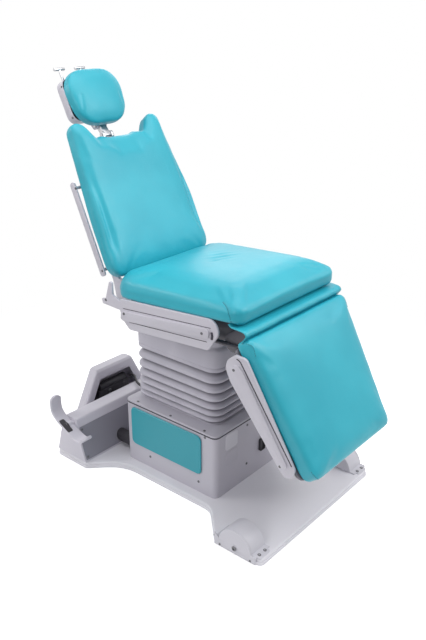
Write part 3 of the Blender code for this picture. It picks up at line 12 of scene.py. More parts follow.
import bmesh
import bpy
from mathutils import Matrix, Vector

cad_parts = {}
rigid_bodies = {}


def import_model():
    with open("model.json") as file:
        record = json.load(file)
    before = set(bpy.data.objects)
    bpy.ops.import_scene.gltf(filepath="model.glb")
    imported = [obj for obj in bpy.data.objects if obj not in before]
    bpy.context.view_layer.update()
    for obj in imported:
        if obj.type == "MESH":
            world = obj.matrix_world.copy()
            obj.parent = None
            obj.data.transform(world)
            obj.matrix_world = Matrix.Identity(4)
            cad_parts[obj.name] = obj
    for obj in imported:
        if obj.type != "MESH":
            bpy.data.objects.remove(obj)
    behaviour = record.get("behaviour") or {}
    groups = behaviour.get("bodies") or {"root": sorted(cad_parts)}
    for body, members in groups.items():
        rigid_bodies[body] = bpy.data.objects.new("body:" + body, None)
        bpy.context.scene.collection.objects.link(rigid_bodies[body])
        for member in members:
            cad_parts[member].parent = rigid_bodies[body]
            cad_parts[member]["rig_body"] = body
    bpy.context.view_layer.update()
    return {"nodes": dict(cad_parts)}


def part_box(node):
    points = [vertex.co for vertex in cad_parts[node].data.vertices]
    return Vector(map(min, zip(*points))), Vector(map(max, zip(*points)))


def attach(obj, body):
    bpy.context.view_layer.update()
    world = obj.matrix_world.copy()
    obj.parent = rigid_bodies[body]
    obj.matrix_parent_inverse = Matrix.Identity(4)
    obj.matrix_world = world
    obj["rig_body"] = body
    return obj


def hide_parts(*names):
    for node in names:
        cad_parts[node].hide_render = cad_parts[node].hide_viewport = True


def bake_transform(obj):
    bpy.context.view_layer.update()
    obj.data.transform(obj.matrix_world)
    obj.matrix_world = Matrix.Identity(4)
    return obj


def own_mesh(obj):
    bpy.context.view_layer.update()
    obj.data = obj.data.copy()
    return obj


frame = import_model()
nodes = frame["nodes"]
scene = bpy.context.scene
scene.view_settings.view_transform = "Standard"
SIDES = {"left": 1, "right": -1}
print("nodes loaded:", len(nodes))

# %% [markdown]
# ## Camera
# The photograph looks down at the chair from in front of its right side. The place, the turn and the focal
# length come from a fit to the straight edges of the base and of the column box.

# %% Camera
camera = bpy.data.objects.new("camera", bpy.data.cameras.new("camera"))
camera.location = (-1.914, -1.673, 1.664)
camera.rotation_euler = (math.radians(67.51), 0, math.radians(-49.77))
camera.data.lens = 41.96
camera.data.sensor_width = 36
scene.collection.objects.link(camera)
scene.camera = camera
print("camera at", tuple(camera.location))

# %% [markdown]
# ## Shader maths
# Node trees are easier to read as arithmetic. A Value wraps one output socket, so that `1 - mask` or
# `noise * 0.2` adds the Math node that it stands for. The same class serves shader and geometry trees.


# %% Values
def arithmetic(operation):
    """The method of an operator, which adds one Math node, and its reflected form."""

    def forward(self, other):
        return self.math(operation, self, other)

    def reflected(self, other):
        return self.math(operation, other, self)

    return forward, reflected


class Value:
    """One output of a node, which takes part in plain arithmetic."""

    __add__, __radd__ = arithmetic("ADD")
    __sub__, __rsub__ = arithmetic("SUBTRACT")
    __mul__, __rmul__ = arithmetic("MULTIPLY")
    __truediv__, __rtruediv__ = arithmetic("DIVIDE")
    __pow__, __rpow__ = arithmetic("POWER")

    def __init__(self, tree, socket):
        self.tree = tree
        self.socket = socket

    def __getitem__(self, name):
        return Value(self.tree, self.socket.node.outputs[name])

    def math(self, operation, *values):
        return self.tree.node("ShaderNodeMath", {"operation": operation}, dict(enumerate(values)))

    def __abs__(self):
        return self.math("ABSOLUTE", self)


# %% Node trees
class Tree:
    """A node tree that adds a node for each call, and gives back the node's first output as a Value."""

    def __init__(self, nodes_and_links):
        self.tree = nodes_and_links

    def node(self, kind, settings=None, inputs=None):
        made = self.tree.nodes.new(kind)
        for name, setting in (settings or {}).items():
            setattr(made, name, setting)
        for name, given in (inputs or {}).items():
            self.feed(made.inputs[name], given)
        return Value(self, made.outputs[0])

    def feed(self, socket, given):
        """Links a Value to a socket, or sets a plain number, colour or vector there."""
        if isinstance(given, Value):
            self.tree.links.new(given.socket, socket)
        else:
            socket.default_value = given

    def step(self, value, low, high):
        """0 below low and 1 above high, with a soft passage."""
        settings = {"interpolation_type": "SMOOTHSTEP"}
        return self.node("ShaderNodeMapRange", settings, {0: value, 1: low, 2: high})

    def mix(self, share, first, second):
        """A colour between two colours."""
        settings = {"data_type": "RGBA"}
        made = self.node("ShaderNodeMix", settings, {0: share, 6: first, 7: second})
        return Value(self, made.socket.node.outputs[2])


print("arithmetic ready")


# %% Finishes
def colour(red, green, blue):
    """A linear colour from its 0 to 255 screen values."""
    shares = [part / 255 for part in (red, green, blue)]
    return (*[s / 12.92 if s <= 0.04045 else ((s + 0.055) / 1.055) ** 2.4 for s in shares], 1.0)


class Finish(Tree):
    """A material with one Principled shader, on Object coordinates."""

    def __init__(self, name):
        self.material = bpy.data.materials.new(name)
        self.material.use_nodes = True
        super().__init__(self.material.node_tree)
        self.shader = self.tree.nodes["Principled BSDF"]
        self.place = self.node("ShaderNodeTexCoord")["Object"]

    def noise(self, scale, detail=3.0, stretch=None):
        place = self.place
        if stretch:
            place = self.node("ShaderNodeMapping", {}, {"Vector": place, "Scale": stretch})
        return self.node("ShaderNodeTexNoise", {}, {"Vector": place, "Scale": scale, "Detail": detail})

    def set(self, **given):
        names = {"base": "Base Color", "rough": "Roughness", "metal": "Metallic"}
        for name, value in given.items():
            self.feed(self.shader.inputs[names[name]], value)

    def bump(self, height, depth):
        """Raises the surface by height, a value from 0 to 1, times depth in metres."""
        inputs = {"Height": height, "Distance": depth, "Strength": 1.0}
        self.feed(self.shader.inputs["Normal"], self.node("ShaderNodeBump", {}, inputs))


print("shader helpers ready")

# %% [markdown]
# ## Geometry trees
# Screws, strips, stitches and the bellows follow rules, so node trees make them. A Shape is such a tree with
# named sizes. Running it gives an object with a plain mesh, because the export keeps no live tree.


# %% Geometry trees
class Shape(Tree):
    """A Geometry Nodes tree with named sizes, which works on given points or on nothing."""

    def __init__(self, name, **sizes):
        group = bpy.data.node_groups.new(name, "GeometryNodeTree")
        super().__init__(group)
        group.interface.new_socket("Geometry", in_out="INPUT", socket_type="NodeSocketGeometry")
        self.keys = {}
        for size, usual in sizes.items():
            socket = group.interface.new_socket(size, in_out="INPUT", socket_type="NodeSocketFloat")
            socket.default_value = usual
            self.keys[size] = socket.identifier
        group.interface.new_socket("Geometry", in_out="OUTPUT", socket_type="NodeSocketGeometry")
        self.start = group.nodes.new("NodeGroupInput")
        self.end = group.nodes.new("NodeGroupOutput")

    def given(self, name):
        return Value(self, self.start.outputs[name])

    def vector(self, operation, *values):
        return self.node("ShaderNodeVectorMath", {"operation": operation}, dict(enumerate(values)))

    def ends_in(self, geometry, finish):
        whole = self.node("GeometryNodeRealizeInstances", {}, {0: geometry})
        inputs = {"Geometry": whole, "Material": finish.material}
        self.feed(self.end.inputs[0], self.node("GeometryNodeSetMaterial", {}, inputs))

    def made(self, name, finish, mesh=None, **sizes):
        """Runs the tree, and gives its result as an object with a plain mesh."""
        piece = as_object(name, mesh or bpy.data.meshes.new(name), finish)
        run = modify(piece, "NODES", node_group=self.tree)
        for size, value in sizes.items():
            run[self.keys[size]] = value
        return applied(piece)


def as_object(name, mesh, finish):
    """A new object at the origin, with its finish."""
    made = bpy.data.objects.new(name, mesh)
    mesh.materials.clear()
    mesh.materials.append(finish.material)
    scene.collection.objects.link(made)
    return made


def modify(made, kind, **settings):
    """Adds a modifier with its settings."""
    modifier = made.modifiers.new(kind.lower(), kind)
    for name, value in settings.items():
        setattr(modifier, name, value)
    return modifier


def applied(made):
    """Turns the object's modifiers into plain mesh."""
    bpy.context.view_layer.update()
    evaluated = made.evaluated_get(bpy.context.evaluated_depsgraph_get())
    mesh = bpy.data.meshes.new_from_object(evaluated)
    made.modifiers.clear()
    old = made.data
    made.data = mesh
    bpy.data.meshes.remove(old)
    return made


print("geometry helpers ready")

# %% [markdown]
# ## Studio
# The chair stands on a white floor that runs into a white background, so the shadow is all that shows of the
# floor. The floor gets half of its white from a glow that only the camera and reflections see, which keeps
# the shadow light, as in the photograph, and puts no extra light on the object.

# %% Floor
FLOOR_RADIUS = 9.0
FLOOR_GLOW = 0.5
FLOOR_NEAR = 0.9
FLOOR_FAR = 2.0


def seen_directly(tree):
    """1 for what the camera sees, and for what shows in metal or through glass."""
    path = tree.node("ShaderNodeLightPath")
    both = path.math("MAXIMUM", path["Is Camera Ray"], path["Is Glossy Ray"])
    return both.math("MAXIMUM", both, path["Is Transmission Ray"])


floor_mesh = bpy.data.meshes.new("floor")
floor_shape = bmesh.new()
bmesh.ops.create_circle(floor_shape, cap_ends=True, segments=64, radius=FLOOR_RADIUS)
floor_shape.to_mesh(floor_mesh)
floor_shape.free()
floor_finish = Finish("floor_white")
floor_finish.set(base=(0.9, 0.9, 0.9, 1), rough=0.8)
floor = as_object("floor", floor_mesh, floor_finish)
glow = floor_finish.node("ShaderNodeEmission", {}, {"Strength": seen_directly(floor_finish) * FLOOR_GLOW})
lit = Value(floor_finish, floor_finish.shader.outputs[0])
near_floor = floor_finish.node("ShaderNodeAddShader", {}, {0: lit, 1: glow})
far_floor = floor_finish.node("ShaderNodeEmission", {}, {"Strength": seen_directly(floor_finish)})
radius = floor_finish.node("ShaderNodeVectorMath", {"operation": "LENGTH"}, {0: floor_finish.place})["Value"]
far = floor_finish.step(radius, FLOOR_NEAR, FLOOR_FAR)
floor_mix = floor_finish.node("ShaderNodeMixShader", {}, {0: far, 1: near_floor, 2: far_floor})
floor_finish.feed(floor_finish.tree.nodes["Material Output"].inputs["Surface"], floor_mix)
print("floor radius:", FLOOR_RADIUS)

# %% World
world = bpy.data.worlds.new("studio")
world.use_nodes = True
scene.world = world
sky = Tree(world.node_tree)
sky_shader = world.node_tree.nodes["Background"]
sky.feed(sky_shader.inputs["Color"], (1, 1, 1, 1))
WORLD_LIGHT = 0.37
sky.feed(sky_shader.inputs["Strength"], seen_directly(sky) * (1 - WORLD_LIGHT) + WORLD_LIGHT)
print("world light:", WORLD_LIGHT)

# %% Lamps
LAMPS = {
    "overhead": ((-0.2, -0.3, 3.2), (0.0, -0.1, 0.6), 2.4, 2.4, 37),
    "front_high": ((0.9, -2.8, 2.9), (0.0, -0.2, 0.5), 1.5, 1.5, 48),
    "front_left": ((-2.8, -0.6, 1.9), (0.0, 0.0, 0.7), 1.2, 1.8, 19),
    "rear_left": ((-2.0, 2.0, 2.2), (0.0, 0.3, 0.4), 1.2, 1.2, 23),
    "tall_box": ((1.75, -1.5, 2.3), (0.0, 0.2, 0.95), 0.5, 1.8, 11),
    "back_sheen": ((2.6, 2.2, 2.3), (0.1, -0.1, 0.85), 2.4, 1.6, 20),
}
for name, (place, aim, width, height, power) in LAMPS.items():
    lamp = bpy.data.lights.new(name, "AREA")
    lamp.shape = "RECTANGLE"
    lamp.size = width
    lamp.size_y = height
    lamp.energy = power
    holder = bpy.data.objects.new(name, lamp)
    holder.location = place
    holder.rotation_euler = (Vector(aim) - Vector(place)).to_track_quat("-Z", "Y").to_euler()
    scene.collection.objects.link(holder)
print("lamps:", list(LAMPS))

# %% [markdown]
# ## Finishes
# Each finish starts from the colour that the photograph shows in even light, and gets the fine relief of the
# real stuff: pebbled grain in the vinyl, the orange peel of powder paint, drawn lines in the bright steel.
# The grey powder paint is the exception: its lighter copy on the base is painted light, and its darker
# copies on the wheel housings, the column box and the beam panel are painted shade.

# %% Vinyl
VINYL_LIGHT = colour(46, 174, 193)
VINYL_DEEP = colour(36, 164, 184)
GRAIN_SCALE = 620.0
vinyl = Finish("teal_vinyl")
cloudy = vinyl.step(vinyl.noise(5.0, 2.0), 0.3, 0.7)
grain = vinyl.node("ShaderNodeTexVoronoi", {}, {"Vector": vinyl.place, "Scale": GRAIN_SCALE})
fine = vinyl.noise(1500.0, 2.0)
soft = vinyl.noise(38.0, 3.0)
vinyl.set(base=vinyl.mix(cloudy, VINYL_DEEP, VINYL_LIGHT))
vinyl.set(rough=0.3 + soft * 0.1 + grain * 0.1)
vinyl.bump(grain * 0.6 + fine * 0.25 + soft * 2.0, 0.00022)
print("vinyl grain cells across 10 mm:", round(GRAIN_SCALE / 100, 1))


# %% Paint
def paint_finish(name, light, deep, rough, peel=0.00012):
    """Powder paint: two close shades in soft clouds, and orange peel."""
    finish = Finish(name)
    clouds = finish.noise(3.0, 3.0)
    peel_height = finish.noise(420.0, 2.0)
    finish.set(base=finish.mix(clouds, deep, light))
    finish.set(rough=rough - 0.06 + finish.noise(60.0, 2.0) * 0.12)
    finish.bump(peel_height, peel)
    return finish


# grey_paint is the chair's light grey powder paint. The base paint is a lighter copy of it, painted light,
# and the housing and box paints are darker copies of it, painted shade.
grey_paint = paint_finish("grey_powder_paint", colour(208, 205, 215), colour(200, 197, 208), 0.42)
housing_paint_shaded = paint_finish("shaded_housing_powder_paint", colour(204, 203, 211), colour(196, 194, 203), 0.45)
base_paint_lit = paint_finish("lit_base_powder_paint", colour(224, 223, 230), colour(216, 214, 222), 0.45)
box_paint_shaded = paint_finish("shaded_box_powder_paint", colour(194, 191, 201), colour(184, 181, 192), 0.42)
dark_paint = paint_finish("dark_paint", colour(98, 96, 104), colour(86, 84, 92), 0.5)
# The beam panel's darker grey is painted shade on the beam's front face.
panel_grey_shaded = paint_finish("shaded_panel_paint", colour(140, 139, 150), colour(130, 129, 140), 0.45)
panel_teal = paint_finish("teal_panel_paint", colour(34, 154, 169), colour(28, 146, 162), 0.4)
board_paint = paint_finish("board_paint", colour(120, 118, 126), colour(104, 102, 110), 0.6)
print("paints ready")


# %% Steel and rubber
def steel_finish(name, shade, rough, stretch):
    """Drawn or ground steel, with fine lines along one way."""
    finish = Finish(name)
    lines = finish.noise(240.0, 4.0, stretch)
    deep = colour(shade - 22, shade - 22, shade - 18)
    light = colour(shade, shade, shade + 3)
    finish.set(base=finish.mix(lines, deep, light))
    finish.set(metal=1.0, rough=rough - 0.08 + lines * 0.16)
    finish.bump(lines, 0.00003)
    return finish


steel = steel_finish("bright_steel", 205, 0.3, (0.04, 1.0, 1.0))
screw_steel = steel_finish("screw_steel", 124, 0.36, (1.0, 1.0, 1.0))


def rubber_finish(name, light, deep, rough, fold_shade_colour=None):
    """Moulded rubber: matt, finely pitted, with a trace of dust in soft clouds, and with painted shade in its
    folds where a fold colour is given.
    """
    finish = Finish(name)
    dust = finish.step(finish.noise(9.0, 4.0), 0.35, 0.75)
    pits = finish.noise(900.0, 2.0)
    base = finish.mix(dust, deep, light)
    # Painted shade: the groove attribute darkens the folds towards the fold colour.
    if fold_shade_colour:
        folded = finish.node("ShaderNodeAttribute", {"attribute_name": "groove"})["Fac"]
        base = finish.mix(finish.step(folded, 0.3, 1.0) * 0.8, base, fold_shade_colour)
    finish.set(base=base)
    finish.set(rough=rough - 0.05 + dust * 0.12)
    finish.bump(pits, 0.00012)
    return finish


black_rubber = rubber_finish("black_rubber", colour(52, 50, 57), colour(36, 34, 40), 0.55)
# The bellows' dark fold colour is painted shade in its pleats.
bellows_rubber = rubber_finish("bellows_rubber", colour(200, 197, 208), colour(190, 187, 199), 0.55,
                               fold_shade_colour=colour(78, 74, 86))
# Dark rubber for the lid gasket, and for the strips of painted shadow along the side rails.
gasket_and_shade_rubber = rubber_finish("gasket_and_shade_rubber", colour(62, 58, 72), colour(46, 43, 54), 0.6)
print("materials:", len(bpy.data.materials))

# %% [markdown]
# ## Sheet metal and other rigid pieces
# The frame's solids are loose triangles with knife-sharp edges. A finished copy of each visible one has its
# triangles rejoined into flat faces, and most have their edges broken by a small bevel, because no painted
# edge is sharp.


# %% Finished copies
def merged_copy(node, flatten=True):
    """A CAD node's shape as one connected mesh."""
    shape = bmesh.new()
    shape.from_mesh(nodes[node].data)
    bmesh.ops.remove_doubles(shape, verts=shape.verts, dist=2e-5)
    if flatten:
        flat = math.radians(0.6)
        bmesh.ops.dissolve_limit(shape, angle_limit=flat, verts=shape.verts, edges=shape.edges)
    mesh = bpy.data.meshes.new(node + "_finished")
    shape.to_mesh(mesh)
    shape.free()
    return mesh


def smooth(made, angle=32.0):
    """Smooth shading, with edges kept where faces meet at more than the angle."""
    made.data.shade_smooth()
    made.data.set_sharp_from_angle(angle=math.radians(angle))


def dress(node, finish, bevel=0.0012, angle=32.0):
    """A finished copy that stands for a rigid CAD node."""
    piece = as_object(node + "_finished", merged_copy(node), finish)
    if bevel:
        modify(piece, "BEVEL", width=bevel, segments=2, angle_limit=math.radians(angle))
        applied(piece)
    smooth(piece, angle)
    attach(piece, nodes[node]["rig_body"])
    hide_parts(node)
    finished[node] = piece
    return piece


print("dressing helpers ready")

# %% Painted, steel and rubber pieces
finished = {}
SHEET_METAL = {
    "base_cover": 0.0, "base_plate": 0.0012, "column_box": 0.0, "column_lid": 0.0015, "rear_beam": 0.002,
    "rear_hood": 0.003, "foot_pedal": 0.0025, "headrest_pan": 0.0012,
}
PAIRED_METAL = {
    "wheel_housing": 0.0015, "wheel_side_plate": 0.0012, "seat_side_guard": 0.0026, "leg_side_guard": 0.0026,
    "back_rail": 0.0015, "back_arm": 0.001,
}
for side in SIDES:
    SHEET_METAL.update((node + "_" + side, bevel) for node, bevel in PAIRED_METAL.items())
# Painted light and shade: the base gets a lighter copy of the grey paint, the wheel parts and the column's
# box and lid get darker copies.
OTHER_PAINTS = {"base": base_paint_lit, "wheel": housing_paint_shaded, "column": box_paint_shaded}
for node, bevel in SHEET_METAL.items():
    dress(node, OTHER_PAINTS.get(node.split("_")[0], grey_paint), bevel)
OTHER_PIECES = (
    (panel_teal, 0.0, ("side_panel_left", "side_panel_right")),
    # The beam panel's darker grey is painted shade.
    (panel_grey_shaded, 0.0008, ("beam_panel",)),
    (dark_paint, 0.0008, ("lift_head_plate", "seat_member_left", "seat_member_right", "leg_arm_left",
                          "leg_arm_right", "post_guide", "back_drive_barrel", "leg_drive_barrel",
                          "lift_cylinder", "cross_tube_front", "cross_tube_rear", "leg_hinge_shaft",
                          "back_drive_rod", "leg_drive_rod")),
    (steel, 0.0006, ("outer_guide_tube", "inner_guide_tube", "lift_ram", "back_hinge_shaft", "headrest_post",
                     "neck_link", "clamp_knob_left", "clamp_knob_right")),
    (black_rubber, 0.0012, ("front_wheel_left", "front_wheel_right", "power_inlet", "drive_unit",
                            "cable_boot")),
    (board_paint, 0.001, ("leg_board", "back_board")),
    (vinyl, 0.003, ("seat_board",)),
)
for finish, bevel, group in OTHER_PIECES:
    for node in group:
        dress(node, finish, bevel)
print("rigid pieces finished:", len(finished))

# %% [markdown]
# ## Stuffed cushions
# Each pad is foam on a board, with vinyl pulled tight over it. The frame's solid gives the outline. A copy is
# rounded, remeshed into even small faces and blown up a little as cloth, with its back held, so that the
# skin takes the even tension of real upholstery. A cap on the movement keeps it inside its own space.


# %% Where the pads lie
class Pad:
    """Where a pad lies: its origin, the way along it and the way out of its face."""

    def __init__(self, origin, along, out):
        self.origin = Vector(origin)
        self.along = Vector(along)
        self.out = Vector(out)

    def local(self, point):
        """A point as (across, along, out)."""
        offset = point - self.origin
        return Vector((offset.x, offset.dot(self.along), offset.dot(self.out)))

    def placed(self, point):
        """The place of a point that is given as (across, along, out)."""
        return self.origin + Vector((point.x, 0, 0)) + self.along * point.y + self.out * point.z


BACK_AXIS = (0, 0.19, 0.745)
UP_BACK = (0, 0.43617, 0.89986)
OUT_OF_BACK = (0, -0.89986, 0.43617)
LEG_AXIS = (0, -0.374, 0.741)
DOWN_LEG = (0, -0.51054, -0.85985)
OUT_OF_LEG = (0, -0.85985, 0.51054)
back_pad = Pad(BACK_AXIS, UP_BACK, OUT_OF_BACK)
leg_pad = Pad(LEG_AXIS, DOWN_LEG, OUT_OF_LEG)
seat_pad = Pad((0, 0, 0.7592), (0, 0.99705, -0.07672), (0, 0.07672, 0.99705))
print("seat pad at", tuple(seat_pad.origin))


# %% A rounded skin
def rounded_copy(node, pad, voxel, crown, soften, held_below):
    """The CAD solid in pad coordinates, its skin in even small faces, crowned and softened above its back."""
    piece = as_object(node + "_stuffed", merged_copy(node, flatten=False), vinyl)
    for vertex in piece.data.vertices:
        vertex.co = pad.local(vertex.co)
    wanted = spans_of(piece)
    modify(piece, "REMESH", mode="VOXEL", voxel_size=voxel)
    applied(piece)
    free = piece.vertex_groups.new(name="free")
    for vertex in piece.data.vertices:
        share = 0.25 + max(0.0, vertex.co.z - held_below) / 0.02
        free.add([vertex.index], min(1.0, share), "REPLACE")
    relaxed = {"factor": 0.5, "vertex_group": free.name}
    modify(piece, "SMOOTH", iterations=crown, use_x=False, use_y=False, **relaxed)
    modify(piece, "SMOOTH", iterations=soften, **relaxed)
    applied(piece)
    piece.vertex_groups.clear()
    present = spans_of(piece)
    for vertex in piece.data.vertices:
        for axis in range(3):
            low, span = present[axis]
            full_low, full_span = wanted[axis]
            vertex.co[axis] = full_low + (vertex.co[axis] - low) / span * full_span
    return piece


def spans_of(piece):
    """The lowest value and the reach of a piece's points on each axis."""
    columns = list(zip(*(vertex.co for vertex in piece.data.vertices)))
    return [(min(column), max(column) - min(column)) for column in columns]


print("skin helpers ready")

# %% Blown up as cloth
CLOTH_FRAMES = 20
CLOTH_SETTINGS = {
    "quality": 5, "mass": 0.3, "tension_stiffness": 20, "compression_stiffness": 20, "shear_stiffness": 8,
    "bending_stiffness": 3, "use_pressure": True, "uniform_pressure_force": 4.0,
}


def blown_up(piece, held_below, cap):
    """Lets pressure swell the skin from its held back, and limits how far each point moves."""
    start = [vertex.co.copy() for vertex in piece.data.vertices]
    held = piece.vertex_groups.new(name="held")
    held.add([i for i, point in enumerate(start) if point.z < held_below], 1.0, "REPLACE")
    cloth = modify(piece, "CLOTH")
    for name, value in CLOTH_SETTINGS.items():
        setattr(cloth.settings, name, value)
    cloth.settings.effector_weights.gravity = 0
    cloth.settings.vertex_group_mass = held.name
    cloth.collision_settings.use_collision = False
    for step in range(1, CLOTH_FRAMES + 1):
        scene.frame_set(step)
    applied(piece)
    scene.frame_set(1)
    piece.vertex_groups.clear()
    for vertex, before in zip(piece.data.vertices, start):
        move = vertex.co - before
        if move.length > cap:
            vertex.co = before + move * (cap / move.length)


def stuffed(node, pad, held_below, cap, crown, soften, shaped, voxel=0.0065):
    """A stuffed pad that stands for a CAD cushion."""
    piece = rounded_copy(node, pad, voxel, crown, soften, held_below)
    blown_up(piece, held_below, cap)
    modify(piece, "SMOOTH", factor=0.5, iterations=9)
    modify(piece, "SUBSURF", levels=1, render_levels=1)
    applied(piece)
    for vertex in piece.data.vertices:
        vertex.co = pad.placed(vertex.co + shaped(*vertex.co))
    piece.data.shade_smooth()
    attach(piece, nodes[node]["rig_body"])
    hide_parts(node)
    print(piece.name, "faces:", len(piece.data.polygons))
    return piece


print("cloth frames:", CLOTH_FRAMES)


# %% Shapes of the pads
def hump(value, middle, width):
    """A bell curve, 1 at its middle."""
    return math.exp(-(((value - middle) / width) ** 2))


def rise(value, low, high):
    """0 below low and 1 above high, with a soft passage. The order may be turned round."""
    share = min(1.0, max(0.0, (value - low) / (high - low)))
    return share * share * (3 - 2 * share)


def seat_shape(across, along, out):
    """The sitter's dent, a foot that meets the guards, and a rear edge with room for the back's arms."""
    top = rise(out, 0.05, 0.075)
    dent = 0.006 * hump(across, -0.02, 0.1) * hump(along, -0.06, 0.12)
    button = 0.004 * hump(across, -0.025, 0.022) * hump(along, -0.085, 0.02)
    crease = 0.0014 * hump(across, 0.03, 0.05) * math.sin((along * 0.8 + across * 0.6) * 190)
    rear = rise(along, 0.07, 0.15)
    swing = rise(out, 0.034, 0.014) * rise(abs(across), 0.225, 0.2)
    foot = rise(out, 0.022, 0.0) * rise(abs(across), 0.2, 0.255)
    lift = rear * 0.01 * top - top * (dent + button + crease * hump(along, -0.08, 0.05))
    reach = rear * (0.006 - 0.016 * swing)
    return Vector((math.copysign(0.0055 * foot, across), reach, lift - 0.003 * foot))


def back_shape(across, along, out):
    """A soft fold inside each edge, a round notch for the neck, and a lower edge down to the seat."""
    share = hump(along, 0.26, 0.12) * rise(out, 0.015, 0.04)
    side = abs(across) + 0.03 * (along - 0.2)
    fold = 0.0055 * hump(side, 0.235, 0.008) - 0.0065 * hump(side, 0.217, 0.01)
    notch = 0.03 * hump(abs(across), 0.122, 0.03) * rise(along, 0.45, 0.56)
    return Vector((0, -0.011 * rise(along, 0.11, 0.05) - notch, share * fold))


def leg_shape(across, along, out):
    """A top edge that reaches up to the apron, and a lower edge that hangs down full."""
    return Vector((0, 0.011 * rise(along, 0.36, 0.5) - 0.009 * rise(along, 0.075, 0.03), 0))


def head_shape(across, along, out):
    """A back that fills the pan."""
    back = rise(out, -0.012, -0.035)
    return Vector((across * 0.035 * back, (along - 0.7) * 0.035 * back, -0.002 * back))


print("pad shapes ready")

# %% Four stuffed pads
seat = stuffed("seat_cushion", seat_pad, 0.03, 0.006, 36, 14, seat_shape)
stuffed("back_cushion", back_pad, 0.0, 0.006, 36, 6, back_shape)
leg = stuffed("leg_cushion", leg_pad, 0.005, 0.005, 22, 6, leg_shape)
headrest = stuffed("headrest_cushion", back_pad, -0.02, 0.004, 18, 10, head_shape, voxel=0.005)

# %% [markdown]
# ## Plates beside the pads
# The guards and the back board end where the pads end. The pads have just been shaped, so the plates next to
# them are moved in the same pad coordinates.


# %% Plates that follow the pads
def reshaped(node, pad, shift, cuts=0):
    """Moves points of a finished piece, in the coordinates of the pad that it belongs to."""
    mesh = finished[node].data
    if cuts:
        shape = bmesh.new()
        shape.from_mesh(mesh)
        bmesh.ops.triangulate(shape, faces=shape.faces)
        bmesh.ops.subdivide_edges(shape, edges=shape.edges, cuts=cuts, use_grid_fill=True)
        shape.to_mesh(mesh)
        shape.free()
    for vertex in mesh.vertices:
        place = pad.local(vertex.co)
        vertex.co = pad.placed(place + shift(*place))


def guard_shape(across, along, out):
    """A rear lower corner that runs down in one line from the rail's end."""
    plate = rise(abs(across), 0.2845, 0.282)
    return Vector((0, 0.016 * plate * rise(out, -0.05, -0.085) * rise(along, -0.05, 0.06), 0))


def leg_guard_shape(across, along, out):
    """A lower end beside the pad's lower corner."""
    return Vector((0, 0.016 * rise(along, 0.3, 0.42), 0))


def board_shape(across, along, out):
    """The neck notch of the pad, repeated in the board behind it."""
    return Vector((0, -0.046 * hump(abs(across), 0.13, 0.046) * rise(along, 0.42, 0.54), 0))


for side in SIDES:
    reshaped("seat_side_guard_" + side, seat_pad, guard_shape)
    reshaped("leg_side_guard_" + side, leg_pad, leg_guard_shape)
reshaped("back_board", back_pad, board_shape, cuts=3)
smooth(finished["back_board"])
print("plates fitted to the pads")

# %% [markdown]
# ## Hinge cheeks
# A dark plate on each side carries the leg rest's hinge. Its outline is the tight loop round two circles, one
# on the hinge and one on the frame, and a Solidify modifier gives it its thickness.

# %% Hinge cheeks
CHEEK_CIRCLES = ((-0.374, 0.741, 0.017), (-0.305, 0.675, 0.034))
CHEEK_MIDDLE = 0.1937
CHEEK_THICK = 0.006
CHEEK_STEPS = 56


def cheek_point(angle):
    """The point of the tight loop round both circles that lies furthest out at an angle."""
    way = Vector((0, math.cos(angle), math.sin(angle)))
    edges = [Vector((0, y, z)) + way * radius for y, z, radius in CHEEK_CIRCLES]
    return max(edges, key=way.dot)


for side, sign in SIDES.items():
    cheek_mesh = bpy.data.meshes.new("leg_hinge_cheek_" + side)
    loop = [cheek_point(2 * math.pi * step / CHEEK_STEPS) for step in range(CHEEK_STEPS)]
    at_side = [(sign * CHEEK_MIDDLE, point.y, point.z) for point in loop]
    cheek_mesh.from_pydata(at_side, [], [range(CHEEK_STEPS)])
    cheek = as_object("leg_hinge_cheek_" + side, cheek_mesh, dark_paint)
    modify(cheek, "SOLIDIFY", thickness=CHEEK_THICK, offset=0)
    modify(cheek, "BEVEL", width=0.0012, segments=2)
    applied(cheek)
    smooth(cheek)
    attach(cheek, "lift")
print("hinge cheeks made, thickness:", CHEEK_THICK)

# %% [markdown]
# ## Pedal tips
# The rocker's two ends are rounded like a tongue. The strip has no points across its width, so planes cut
# some into it first, and the corners are then drawn back along the strip.

# %% Pedal tips
PEDAL_MIDDLE = -0.363
PEDAL_HALF = 0.0262
PEDAL_TIPS = (
    ((PEDAL_MIDDLE, 0.437, 0.294), (0, 0.0, 1.0)),
    ((PEDAL_MIDDLE, 0.257, 0.178), (0, -0.69, 0.724)),
)
TIP_DEPTH = 0.034
TIP_REACH = 0.06
TIP_SHARE = 0.8
CUT_STEP = 0.0046
pedal_shape = bmesh.new()
pedal_shape.from_mesh(finished["foot_pedal"].data)
for cut in range(-5, 6):
    everything = pedal_shape.verts[:] + pedal_shape.edges[:] + pedal_shape.faces[:]
    at_cut = (PEDAL_MIDDLE + cut * CUT_STEP, 0, 0)
    bmesh.ops.bisect_plane(pedal_shape, geom=everything, plane_co=at_cut, plane_no=(1, 0, 0))
for end, way in PEDAL_TIPS:
    for vertex in pedal_shape.verts:
        depth = (Vector(end) - vertex.co).dot(way)
        if depth < TIP_DEPTH and (vertex.co - Vector(end)).length < TIP_REACH:
            across = min(PEDAL_HALF, abs(vertex.co.x - PEDAL_MIDDLE))
            drop = PEDAL_HALF - math.sqrt(PEDAL_HALF ** 2 - across ** 2)
            vertex.co -= Vector(way) * drop * (1 - max(0.0, depth) / TIP_DEPTH) * TIP_SHARE
pedal_shape.to_mesh(finished["foot_pedal"].data)
pedal_shape.free()
smooth(finished["foot_pedal"])
print("pedal tips rounded to a radius of", PEDAL_HALF)

# %% [markdown]
# ## Apron
# A flap of the same vinyl hides the hinge between seat and leg rest. It is one sheet, fixed under the seat's
# nose, rolled over forwards and fixed behind the leg pad's top.


